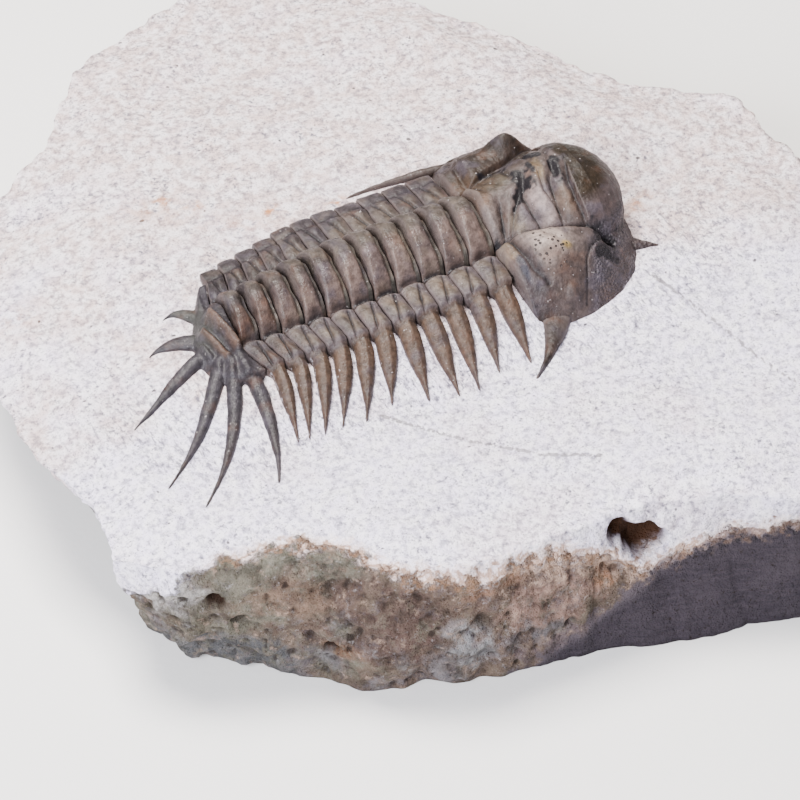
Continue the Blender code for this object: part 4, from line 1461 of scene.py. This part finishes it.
    def plate_relief(self, y: Array, v: Array, axis: float, rise: float, fulcrum: Array) -> Array:
        """Shape the ring and the inner pleurae.

        Args:
            y: Distance from the midline, less than 0 on the near side.
            v: Place from the rear edge, -1, to the front edge, 1.
            axis: Half-width of the ring.
            rise: Rise of the ring.
            fulcrum: Distance from the midline to the fulcrum.

        Returns:
            Height over the level of the pleurae at each point.
        """
        size = np.abs(y)
        places, front_ring, rear_ring = np.array(self.profile).T
        rear = float(self.plan.rearness(self.plan.edges()[self.number]))
        bulge = self.bulge * (1.0 - v * v)
        outward = size - axis + bulge
        ring = np.interp(v, places, mix(front_ring, rear_ring, rear))
        tall = rise * self.plan.vault(y, axis - bulge + 0.2) * ring
        edge = np.clip((np.abs(v) - 0.93) / 0.07, 0.0, 1.0) ** 2
        tall = tall - 0.30 * edge * (size < axis)
        tall = tall - self.ring_furrow[0] * groove(outward, self.ring_furrow[1])
        tall = tall + 0.16 * groove(outward - 0.42, 0.20)
        tall = tall - 0.7 * groove(size - axis + 0.2, 0.45) * groove(np.abs(v) - 1.0, 0.24)
        inner = smooth_step((size - axis) / 0.6)
        room = np.clip((size - axis) / (fulcrum - axis), 0.0, 1.0)
        swell = 0.20 * np.clip(1.0 - v * v, 0.0, 1.0) ** 0.5
        depth, width = self.pleural_cut
        cut = -depth * groove(v - mix(*self.pleural_furrow, room), width)
        cut = cut * smooth_step(room / 0.10) * smooth_step((1.0 - room) / 0.2)
        knobs = self.knob_height * sum(mound(room, v, place, radii) for place, radii, _ in self.knobs)
        dip = -0.24 * groove(room - 0.97, 0.10)
        return tall + inner * (swell + cut + knobs + dip - 0.15) - 0.18 * edge * inner

    def store_finish(self, piece: Workpiece, v: Array, axis: float, fulcrum: Array, share: Array,
                     narrow: Array) -> None:
        """Store the segment's colours.

        Args:
            piece: The segment.
            v: Place from the rear edge to the front edge.
            axis: Half-width of the ring.
            fulcrum: Distance from the midline to the fulcrum.
            share: Share of the way along a spine.
            narrow: 1 on the spines.
        """
        places = piece.points()
        x, y, _ = places.T
        size = np.abs(y)
        near = (y < 0.0).astype(float)
        rear = self.plan.rearness(x + 4.0)
        inner = smooth_step((size - axis) / 0.5) * (1.0 - narrow)
        room = (size - axis) / (fulcrum - axis)
        lobes = smooth_step((0.85 - room) / 0.2) * np.clip(1.0 - v * v, 0.0, 1.0) ** 0.5
        knobs = np.max([mound(room, v, place, radii) for place, _, radii in self.knobs], axis=0)
        knobs = smooth_step(1.5 * knobs) * lobes
        half_ring = smooth_step((v - 0.52) / 0.10) * (size < axis)
        ring = (size < axis) * (1.0 - half_ring)
        smudge = smooth_step((grain(places, 2.3, 131, 3) - 0.05) / 0.45) * (1.0 - 0.8 * narrow)
        bright = smooth_step((grain(places, 2.0, 137, 3) - 0.10) / 0.45) * (1.0 - narrow)
        tint = np.tile(np.array(self.brown), (len(x), 1))
        for colour, strength in (
                (self.plum, 0.75 * inner),
                (self.tan, inner * knobs * (1.0 - 0.7 * rear) * (0.6 + 0.25 * near)),
                (self.moss, 0.7 * half_ring),
                # Painted shade: olive on the ring's crest and far flank
                (self.olive_shade, 0.55 * smooth_step((y + 0.5) / 1.2) * ring),
                (self.grey, 0.45 * rear),
                (self.russet, smooth_step((0.4 - y) / 1.4) * ring * (0.25 + 0.45 * rear)),
                (self.tan, 0.35 * narrow * (1.0 - share))):
            tint = tinted(tint, colour, strength)
        # Darker toward the tail, and darker on the far side as painted shade
        dim = (1.12 - 0.80 * rear * (1.0 - narrow)) * (1.0 - 0.40 * smooth_step((y - 1.0) / 2.5))
        tint = tint * (dim * (1.0 - 0.50 * narrow) * (1.0 - 0.34 * inner))[:, None]
        tint = tint * (1.0 + narrow[:, None] * np.array(self.spine_warmth))
        tint = tinted(tint, self.smudge, 0.50 * smudge)
        tint = tinted(tint, self.tan, 0.26 * bright * (1.0 - 0.5 * rear))
        buried = smooth_step((share - 0.82) / 0.18)
        seams = smooth_step((np.abs(v) - 0.82) / 0.12) * narrow * smooth_step((self.number - 5.5) / 2.0)
        shelf = smooth_step((share - 0.35) / 0.3) * smooth_step((np.abs(v) - 0.72) / 0.2) * (y > 0.0)
        dust = 0.35 * buried + 0.50 * seams + 0.45 * shelf + 0.10 * inner * rear
        seam = groove(v - mix(*self.pleural_furrow, np.clip(room, 0.0, 1.0)), 0.10)
        seam = seam * smooth_step((1.0 - room) / 0.2) * smooth_step(room / 0.1) * (size > axis)
        ends = groove(size - axis + self.bulge * (1.0 - v * v), 0.16)
        ends = ends + 0.7 * groove((room - 0.97) * (fulcrum - axis), 0.16)
        black = 0.62 * np.clip(seam + ends, 0.0, 1.0)
        self.store(piece, tint, dust=dust, black=black, gloss=0.35 + 0.35 * (size < axis))


@dataclass
class HeadShield(Plate):
    """The cephalon: cheeks, lobed glabella, eyes, and the spines that grow from it."""

    cells: tuple[int, int] = (270, 150)
    near_width: float = 13.9
    far_width: float = 11.9
    corner_x: float = 20.6
    front_x: float = 34.5
    roundness: float = 2.3
    rear_inset: float = 1.0
    # Forward sweep of the rear edge near its outer corners, near and far, where it starts, and its length
    rear_sweep: tuple[float, float, float, float] = (0.5, 0.6, 4.0, 9.0)
    cheek_height: float = 6.2
    glabella_half: Point = (4.2, 4.3)
    glabella_growth: Point = (2.3, 1.0)
    glabella_front: float = 29.5
    # Height of the glabella's foot, and of its crown at the rear and at the front
    glabella_foot: float = 5.4
    glabella_crown: Point = (7.0, 8.8)
    lobe_centre: Point = (28.3, 3.4)
    lobe_radii: Triple = (5.9, 7.2, 5.3)
    # Y and X of points along the rear edge of the front lobe
    lobe_edge: Route = ((-6.8, 27.2), (-4.1, 27.2), (-2.0, 27.4), (0.4, 28.0), (6.8, 27.2))
    # Furrows between the lobes: their routes, depths and widths
    furrows: tuple[Cut, ...] = (
        (((18.5, -4.5), (19.1, -2.8), (19.9, -0.6), (20.7, 1.8)), 0.70, 0.32),
        (((19.2, -4.6), (20.5, -2.6), (21.7, -1.1), (22.8, 0.4)), 0.45, 0.28),
        (((22.7, -5.6), (22.5, -3.0), (22.6, -1.0), (23.4, 0.8)), 0.70, 0.30),
        (((24.9, -5.9), (25.3, -3.0), (25.7, -1.0), (26.6, 0.8)), 0.70, 0.30),
        (((27.2, -6.8), (27.2, -4.1), (27.4, -2.0), (28.2, 0.4)), 0.60, 0.30),
    )
    strip: Cut = (((25.0, -4.2), (24.5, -1.8), (25.1, 0.5)), 0.22, 0.18)
    axial_furrow: Route = (
        (17.2, -4.0), (19.3, -4.4), (22.2, -5.3), (24.0, -5.6), (26.3, -6.4), (27.4, -6.6), (28.5, -7.0),
        (29.4, -8.2),
    )
    border_furrow: Route = ((18.9, -4.9), (19.1, -7.0), (19.3, -9.2), (20.2, -10.8))
    suture: Route = ((27.8, -8.0), (26.3, -8.8), (25.3, -9.8), (24.4, -11.6), (23.6, -13.0))
    corner_furrow: Route = ((21.2, -10.4), (20.0, -12.6), (19.4, -14.0))
    # The two swellings of the near cheek, its corner knob, the far eye and the near eye
    cheek_mounds: tuple[Mound, ...] = (
        ((21.7, -8.0), (2.0, 2.6), 12.0, 0.75), ((18.2, -5.6), (0.7, 1.2), 10.0, 0.40),
        ((22.4, -12.5), (0.75, 0.75), 0.0, 0.8), ((25.3, 8.2), (1.9, 1.3), -20.0, 2.2),
        ((23.5, -8.9), (0.7, 0.55), 0.0, 0.3),
    )
    dips: tuple[Mound, ...] = (
        ((28.9, -7.6), (0.8, 0.7), 0.0, -1.2), ((26.7, 0.2), (0.35, 1.7), -10.0, -0.45),
        ((23.7, 1.2), (0.6, 1.3), -30.0, -0.35), ((17.7, -3.9), (0.5, 0.6), 0.0, -1.1),
    )
    spines: tuple[SpineShape, ...] = (
        SpineShape((21.2, -10.0), (19.0, -15.8), (14.0, -19.4), 4.7, 1.2, taper=1.0),
        SpineShape((20.9, 10.8), (15.6, 12.6), (8.2, 12.4), 1.3),
        SpineShape((31.4, -5.6), (33.6, -6.9), (35.5, -7.9), 1.9),
    )
    base: Colour = (0.115, 0.086, 0.080)
    lobe_brown: Colour = (0.080, 0.056, 0.055)
    crown_brown: Colour = (0.022, 0.013, 0.006)
    snout: Colour = (0.078, 0.066, 0.080)
    snout_rim: Colour = (0.08, 0.052, 0.04)
    # Colour spots: middle, radii, turn, colour and strength
    spots: tuple[tuple[Point, Point, float, Colour, float], ...] = (
        ((21.7, -7.9), (2.3, 2.7), 12.0, (0.37, 0.285, 0.25), 1.0),
        ((22.0, -7.4), (1.4, 1.6), 12.0, (0.46, 0.37, 0.33), 0.6),
        ((23.4, -8.7), (0.5, 0.4), 0.0, (0.50, 0.34, 0.10), 0.8),
        ((18.2, -5.6), (0.7, 1.1), 10.0, (0.27, 0.20, 0.13), 0.85),
        ((20.6, -3.4), (0.8, 1.1), 0.0, (0.17, 0.135, 0.095), 0.6),
        ((22.0, -3.2), (1.0, 1.6), 0.0, (0.17, 0.135, 0.14), 0.6),
        ((23.7, -3.0), (0.8, 2.3), 8.0, (0.32, 0.245, 0.235), 1.0),
        ((25.3, 1.2), (0.5, 1.5), -10.0, (0.19, 0.135, 0.08), 0.9),
        ((26.2, -3.6), (0.8, 1.5), 0.0, (0.155, 0.108, 0.085), 0.9),
        ((18.4, -1.8), (0.7, 2.6), -5.0, (0.19, 0.15, 0.14), 0.75),
        ((18.6, 1.6), (0.8, 1.8), 0.0, (0.15, 0.085, 0.055), 0.8),
        ((21.0, 3.2), (2.0, 1.8), 20.0, (0.095, 0.078, 0.050), 0.8),
        ((22.0, 8.2), (7.5, 5.0), 0.0, (0.034, 0.022, 0.017), 1.0),
        ((19.0, 4.2), (1.4, 2.4), 0.0, (0.075, 0.048, 0.032), 0.8),
        ((23.4, -11.3), (2.6, 2.0), 0.0, (0.074, 0.053, 0.049), 0.9),
        ((18.7, -11.0), (1.6, 5.2), 0.0, (0.060, 0.045, 0.047), 0.85),
        ((17.2, -16.6), (4.4, 3.6), 0.0, (0.030, 0.021, 0.019), 1.0),
        ((18.4, -8.3), (0.35, 1.5), 0.0, (0.035, 0.034, 0.050), 0.9),
        ((18.0, -6.6), (0.6, 0.5), 0.0, (0.22, 0.165, 0.115), 0.9),
    )
    # Black patches: middle, radii and turn
    patches: tuple[tuple[Point, Point, float], ...] = (
        ((23.4, 1.3), (1.7, 2.3), -35.0), ((22.1, -0.7), (0.85, 1.7), -38.0),
        ((27.0, 0.4), (0.95, 2.0), -15.0), ((28.7, -7.5), (1.6, 1.2), 0.0),
        ((28.4, -9.2), (2.4, 1.4), 20.0), ((20.9, -1.9), (0.30, 0.9), -35.0),
        ((17.8, -3.9), (0.6, 0.8), 0.0), ((26.0, 3.4), (0.7, 2.0), 40.0), ((21.5, 4.5), (0.5, 1.8), 60.0),
    )

    def half_width(self, turn: Array) -> Array:
        """Half-width of the head on the side of each point."""
        return np.where(turn < 0.0, self.near_width, self.far_width)

    def rim(self, turn: Array) -> tuple[Array, Array]:
        """Find the outer rim.

        Args:
            turn: Place on the rim, from -1 at the near corner to 1 at the far one.

        Returns:
            X and Y of the rim at each place.
        """
        angle = turn * 0.5 * math.pi
        power = 2.0 / self.roundness
        along = np.abs(np.cos(angle)) ** power
        across = np.sign(turn) * np.abs(np.sin(angle)) ** power
        return self.corner_x + (self.front_x - self.corner_x) * along, self.half_width(turn) * across

    def lobe_rear(self, y: Array) -> Array:
        """X of the front lobe's rear edge."""
        return np.interp(y, *np.array(self.lobe_edge).T)

    def glabella_width(self, x: Array, y: Array) -> Array:
        """Half-width of the glabella at a place along the head, on the side of each point."""
        forward = smooth_step((x - 18.0) / 9.0)
        return np.where(y < 0.0, *self.glabella_half) + forward * np.where(y < 0.0, *self.glabella_growth)

    def glabella(self, x: Array, y: Array) -> Array:
        """Shape the lobed middle of the head and its swollen front lobe.

        Args:
            x: X of each point.
            y: Y of each point.

        Returns:
            Height at each point, 0 on the cheeks.
        """
        half = self.glabella_width(x, y)
        crown = mix(*self.glabella_crown, smooth_step((x - 18.5) / 9.0))
        arch = self.plan.vault(y, half)
        fade = smooth_step((1.4 - y) / 3.2)
        sunk = cuts(x, y, (self.strip,))
        for route, depth, width in self.furrows:
            away = line_distance(x, y, route)
            sunk = sunk + depth * fade * 0.75 * (groove(away, width) + groove(away, 2.6 * width))
            sunk = sunk + smooth_step((y - 0.5) / 3.0) * cuts(x, y, ((mirrored(route), 0.6 * depth, width),))
        rear = self.glabella_foot + (crown - self.glabella_foot) * arch - sunk * np.clip(arch * 7.0, 0.0, 1.0)
        rear = rear - 0.9 * smooth_step((17.75 - x + self.plan.swing(y)) / 0.5)
        rear = np.where((np.abs(y) < half) & (x < self.glabella_front), rear, 0.0)
        long, wide, tall = self.lobe_radii
        room = 1.0 - ((x - self.lobe_centre[0]) / long) ** 2 - (y / wide) ** 2
        lobe = np.where(room > 0.0, self.lobe_centre[1] + tall * np.sqrt(np.clip(room, 0.0, 1.0)), 0.0)
        return np.maximum(rear, lobe * smooth_step((x - self.lobe_rear(y) + 0.35) / 0.7))

    def height(self, x: Array, y: Array) -> Array:
        """Shape the whole head shield.

        Args:
            x: X of each point.
            y: Y of each point.

        Returns:
            Height above the surrounding rock at each point.
        """
        along = np.maximum(x - self.corner_x, 0.0) / (self.front_x - self.corner_x)
        across = np.abs(y) / self.near_width
        reach = (along ** self.roundness + across ** self.roundness) ** (1.0 / self.roundness)
        cheek = self.cheek_height * (1.0 - np.clip((reach - 0.55) / 0.45, 0.0, 1.0) ** 1.6)
        cheek = cheek - 1.2 * smooth_step((20.4 - x) / 2.6) + mounds(x, y, self.cheek_mounds)
        lines = ((self.border_furrow, 0.55, 0.34), (self.suture, 0.20, 0.18), (self.corner_furrow, 0.15, 0.6),
                 (mirrored(self.border_furrow), 0.45, 0.42))
        cheek = cheek - cuts(x, y, lines)
        inside = smooth_step((self.glabella_width(x, y) - np.abs(y)) / 0.5)
        inside = inside * smooth_step((self.glabella_front - x) / 1.0)
        total = np.maximum(cheek - 1.6 * inside, self.glabella(x, y))
        sides = tuple((route, 0.62, 0.30) for route in (self.axial_furrow, mirrored(self.axial_furrow)))
        return total - cuts(x, y, sides) + mounds(x, y, self.dips)

    def build(self) -> Workpiece:
        """Model the head shield and store what its finish reads.

        Returns:
            The finished piece.
        """
        piece = Workpiece.sheet("head_shield", *self.cells)
        piece.thicken()
        turn, forward, depth = piece.points().T
        share = (0.5 * (forward + 1.0)) ** 0.85
        front_x, front_y = self.rim(turn)
        rear_y = turn * (self.half_width(turn) - self.rear_inset)
        near_sweep, far_sweep, start, width = self.rear_sweep
        outward = smooth_step((np.abs(rear_y) - start) / width)
        sweep = np.where(turn < 0.0, near_sweep, far_sweep) * outward
        rear_x = self.plan.joint_line(0, rear_y) + 0.06 + sweep
        x = mix(rear_x, front_x, share)
        y = mix(rear_y, front_y, share)
        bed = self.plan.bed_height(x, y)
        sides = smooth_step((1.0 - np.abs(turn)) / 0.03) * smooth_step((1.0 - share) / 0.03)
        top = mix(bed - 0.05, np.maximum(self.height(x, y), bed + 0.1), np.sqrt(sides))
        top = top - 0.35 * (1.0 - smooth_step(share / 0.035))
        piece.move_points(stack(x, y, np.where(depth < -0.5, bed - self.skirt, np.maximum(top, bed - 0.25))))
        self.grow(piece, "head_spine", self.spines)
        self.wear(piece, 1.5, 90)
        self.store_finish(piece)
        return piece

    def store_finish(self, piece: Workpiece) -> None:
        """Store the head's colours, its black patches and its pitted cheek.

        Args:
            piece: The head shield.
        """
        places = piece.points()
        x, y, z = places.T
        size = np.abs(y)
        edge = self.lobe_rear(y)
        lobe = smooth_step((x - edge) / 0.4) * smooth_step((z - 2.5) / 2.5) * (size < 7.3)
        tint = np.tile(np.array(self.base), (len(places), 1))
        tint = tinted(tint, self.lobe_brown, 0.9 * lobe)
        tint = tinted(tint, self.crown_brown, 0.97 * lobe * smooth_step((z - 6.9) / 1.0))
        for place, radii, bearing, colour, strength in self.spots:
            share = np.clip(1.6 * mound(x, y, place, radii, bearing), 0.0, 1.0)
            tint = tinted(tint, colour, strength * smooth_step(share))
        ahead = smooth_step((x - 24.6 - 0.42 * (y + 11.0)) / 1.6) * smooth_step((6.0 - z) / 1.6)
        ahead = ahead * (y < -3.0) * (x > 23.0)
        tint = tinted(tint, self.snout, 0.85 * ahead)
        tint = tinted(tint, self.snout_rim, 0.5 * ahead * smooth_step((2.8 - z) / 1.5))
        black = np.max([mound(x, y, *patch) for patch in self.patches], axis=0)
        black = smooth_step((black + 1.1 * (0.5 + 0.5 * grain(places, 1.0, 97, 4)) - 1.05) / 0.25)
        lines = ((self.suture, 1.0, 0.14), (self.border_furrow, 1.0, 0.24), (self.axial_furrow, 1.0, 0.16))
        black = np.clip(black + 0.75 * np.clip(cuts(x, y, lines), 0.0, 1.0), 0.0, 1.0)
        pitted = smooth_step((mound(x, y, (21.8, -7.9), (2.1, 2.7), 12.0) - 0.36) / 0.16) * (size > 4.6)
        self.store(piece, tint, shelter=0.98 * smooth_step((x - edge) / 0.8), black=black, pitted=pitted,
                   gloss=0.35 - 0.15 * lobe - 0.2 * pitted, granular=ahead,
                   dust=0.35 * smooth_step((0.55 - z) / 0.4))


@dataclass
class TailShield(Plate):
    """The pygidium: a few short rings, and six curved spines that lie on the rock."""

    cells: tuple[int, int] = (150, 80)
    voxel: float = 0.14
    front: float = -12.4
    rear: float = -16.9
    half_width: Point = (7.6, 6.8)
    margin: Route = (
        (-13.1, -7.5), (-14.7, -7.2), (-16.2, -6.0), (-16.9, -2.8), (-16.0, 0.7), (-14.3, 3.6), (-12.9, 5.9),
        (-12.3, 6.7),
    )
    turn: float = 0.42
    axis_half: Point = (3.6, 1.4)
    axis_rise: Point = (1.15, 0.4)
    # Ring bars and the ribs that run out to the spines: route, height and half-width
    bars: tuple[Cut, ...] = (
        (((-13.5, 1.2), (-13.2, -1.2), (-12.7, -3.7)), 1.45, 0.48),
        (((-15.0, -0.4), (-14.6, -2.2), (-14.1, -4.0)), 0.85, 0.38),
        (((-15.9, -1.6), (-15.6, -3.2)), 0.50, 0.34),
        (((-12.9, -4.4), (-13.1, -6.8)), 0.55, 0.50),
        (((-13.9, -4.6), (-14.8, -6.6)), 0.55, 0.45),
        (((-15.0, -3.8), (-16.1, -5.6)), 0.50, 0.45),
        (((-13.6, 2.2), (-13.2, 5.2)), 0.40, 0.50),
        (((-15.2, -0.2), (-16.4, 0.2)), 0.40, 0.50),
    )
    spines: tuple[SpineShape, ...] = (
        SpineShape((-12.6, -5.2), (-12.9, -14.0), (-16.5, -20.5), 1.85, 0.95),
        SpineShape((-13.8, -4.4), (-16.9, -13.6), (-24.7, -20.1), 1.75, 0.95),
        SpineShape((-14.4, -3.2), (-19.7, -10.8), (-26.8, -15.9), 1.75, 0.95),
        SpineShape((-14.6, -1.6), (-21.2, -3.5), (-26.4, -6.9), 1.8, 0.95),
        SpineShape((-14.2, -0.5), (-18.4, 2.3), (-20.7, 1.3), 2.3, 0.9),
        SpineShape((-13.2, 2.2), (-14.8, 6.2), (-17.2, 5.2), 1.9, 0.8),
    )
    bar_brown: Colour = (0.110, 0.068, 0.052)
    tip_brown: Colour = (0.052, 0.040, 0.040)

    def height(self, x: Array, y: Array) -> Array:
        """Shape the tail shield with its few short rings.

        Args:
            x: X of each point.
            y: Y of each point.

        Returns:
            Height above the surrounding rock at each point.
        """
        along = np.clip((self.front - x) / (self.front - self.rear), 0.0, 1.0)
        off_line = y + self.turn * (self.front - x)
        arch = self.plan.vault(off_line, mix(*self.axis_half, along))
        total = self.plan.pleura_top(x) - 0.9 * along - 0.25 + mix(*self.axis_rise, along) * arch
        for route, rise, width in self.bars:
            total = total + rise * np.clip(1.25 * groove(line_distance(x, y, route), width), 0.0, 1.0)
        return total

    def build(self) -> Workpiece:
        """Model the tail shield with its spines and store what its finish reads.

        Returns:
            The finished piece.
        """
        piece = Workpiece.sheet("tail_shield", *self.cells)
        piece.thicken()
        turn, rearward, depth = piece.points().T
        share = 0.5 * (rearward + 1.0)
        front_y = np.where(turn < 0.0, *self.half_width) * turn
        front_x = self.plan.joint_line(self.plan.segments, front_y) - 0.06
        margin = np.array(self.margin)
        stations = np.linspace(-1.0, 1.0, len(margin))
        x = mix(front_x, np.interp(turn, stations, margin[:, 0]), share)
        y = mix(front_y, np.interp(turn, stations, margin[:, 1]), share)
        bed = self.plan.bed_height(x, y)
        fall = np.sqrt(np.clip((1.0 - share) / 0.22, 0.0, 1.0))
        top = mix(bed - 0.1, np.maximum(self.height(x, y), bed + 0.5), fall)
        piece.move_points(stack(x, y, np.where(depth < -0.5, bed - 0.5, top)))
        self.grow(piece, "tail_spine", self.spines)
        piece.apply("REMESH", mode="VOXEL", voxel_size=self.voxel)
        piece.apply("SMOOTH", factor=0.5, iterations=2)
        self.wear(piece, 0.8, 120)
        self.store_finish(piece)
        return piece

    def store_finish(self, piece: Workpiece) -> None:
        """Store the tail's colours.

        Args:
            piece: The tail shield.
        """
        x, y, z = piece.points().T
        bars = [groove(line_distance(x, y, route), width) for route, _, width in self.bars[:2]]
        bars = np.max(bars, axis=0)
        low = smooth_step((-13.0 - x) / 1.0) * smooth_step((y + 3.4) / 1.5) * smooth_step((x + 16.4) / 0.8)
        outer = smooth_step((-y - 9.0) / 6.0)
        tint = np.tile(0.5 * np.array(self.grey), (len(x), 1))
        tint = tinted(tint, self.bar_brown, 0.95 * smooth_step(1.3 * bars))
        tint = tinted(tint, self.moss, 0.6 * low * (1.0 - bars))
        tint = tinted(tint, self.tip_brown, 0.5 * outer)
        buried = smooth_step((0.25 + self.plan.bed_height(x, y) - z) / 0.3)
        self.store(piece, tint, dust=0.05 + 0.3 * buried * outer, gloss=np.full(len(x), 0.45))


@dataclass
class Studio:
    """Pale floor, soft lights and the camera at the photograph's angle."""

    azimuth: float = -28.0
    elevation: float = 45.0
    distance: float = 430.0
    aim: Triple = (0.0, -15.5, 0.0)
    pixels_per_mm: float = 9.7
    image_side: float = 800.0
    sensor: float = 36.0
    # Nearest and farthest distance that the camera sees, in metres
    clip: Point = (0.01, 10.0)
    floor_half: float = 900.0
    floor_colour: Colour = (0.80, 0.79, 0.78)
    floor_shade: Colour = (0.77, 0.76, 0.75)
    # Square lamps: name, place and side in millimetres, power in watts, and colour
    lamps: tuple[tuple[str, Triple, float, float, Colour], ...] = (
        ("key_lamp", (-40.0, 150.0, 450.0), 190.0, 6.6, (1.0, 0.95, 0.89)),
        ("fill_lamp", (-330.0, -230.0, 300.0), 240.0, 6.0, (0.93, 0.94, 1.0)),
    )
    air: Colour = (0.95, 0.96, 1.0)
    air_strength: float = 0.33

    def lay_floor(self) -> None:
        """Lay a wide pale floor under the object."""
        bpy.ops.object.select_all(action="DESELECT")
        bpy.ops.mesh.primitive_grid_add(x_subdivisions=12, y_subdivisions=12, size=2.0 * self.floor_half * MM)
        sheet = bpy.context.object
        sheet.name = "studio_floor"
        bench = NodeBench("studio_paper")
        colour = bench.veil(self.floor_colour, self.floor_shade, bench.noise(60.0, 2.0), 0.3, 0.7, 0.3)
        normal = bench.bump(bench.noise(0.8, 2.0), 0.02)
        sheet.data.materials.append(bench.finish(colour, 0.9, normal))

    def hang(self, name: str, data: bpy.types.ID, place: Vector, look: Vector) -> bpy.types.Object:
        """Put a lamp or a camera in its place and turn it.

        Args:
            name: Its name.
            data: The lamp or the camera.
            place: Its place in millimetres.
            look: The direction that it faces.

        Returns:
            The new object.
        """
        holder = bpy.data.objects.new(name, data)
        holder.location = place * MM
        holder.rotation_mode = "QUATERNION"
        holder.rotation_quaternion = look.to_track_quat("-Z", "Y")
        bpy.context.scene.collection.objects.link(holder)
        return holder

    def set_camera(self) -> None:
        """Set the camera at the photograph's viewing angle."""
        turn = math.radians(-self.azimuth)
        tilt = math.radians(self.elevation)
        away = Vector((math.sin(turn), math.cos(turn), 0.0))
        look = away * math.cos(tilt) - Vector((0.0, 0.0, math.sin(tilt)))
        target = Vector(self.aim) + Vector(ORIGIN)
        lens = bpy.data.cameras.new("camera")
        lens.sensor_width = self.sensor
        lens.lens = self.sensor * self.pixels_per_mm * self.distance / self.image_side
        lens.clip_start, lens.clip_end = self.clip
        bpy.context.scene.camera = self.hang("camera", lens, target - look * self.distance, look)

    def build(self) -> None:
        """Set up the floor, the camera, the lamps and the ambient light."""
        self.lay_floor()
        self.set_camera()
        for name, place, size, power, colour in self.lamps:
            light = bpy.data.lights.new(name, "AREA")
            light.size = size * MM
            light.energy = power
            light.color = colour
            self.hang(name, light, Vector(place), -Vector(place))
        world = bpy.data.worlds.new("studio_air")
        world.use_nodes = True
        background = world.node_tree.nodes["Background"]
        background.inputs["Color"].default_value = (*self.air, 1.0)
        background.inputs["Strength"].default_value = self.air_strength
        bpy.context.scene.world = world


def main() -> None:
    """Build the slab, the animal's plates and the studio, in order."""
    logging.basicConfig(level=logging.INFO, format="%(message)s")
    plan = BodyPlan()
    shell = ShellFinish().material()
    Slab(plan).build().hand_over("matrix", Slot.ROCK, RockFinish().material())
    HeadShield(plan).build().hand_over("cephalon", Slot.SHELL, shell)
    for number in range(plan.segments):
        segment = ThoraxSegment(plan, number=number).build()
        segment.hand_over(f"thorax_segment_{number + 1:02d}", Slot.SHELL, shell)
    TailShield(plan).build().hand_over("pygidium", Slot.SHELL, shell)
    Studio().build()


if __name__ == "__main__":
    main()
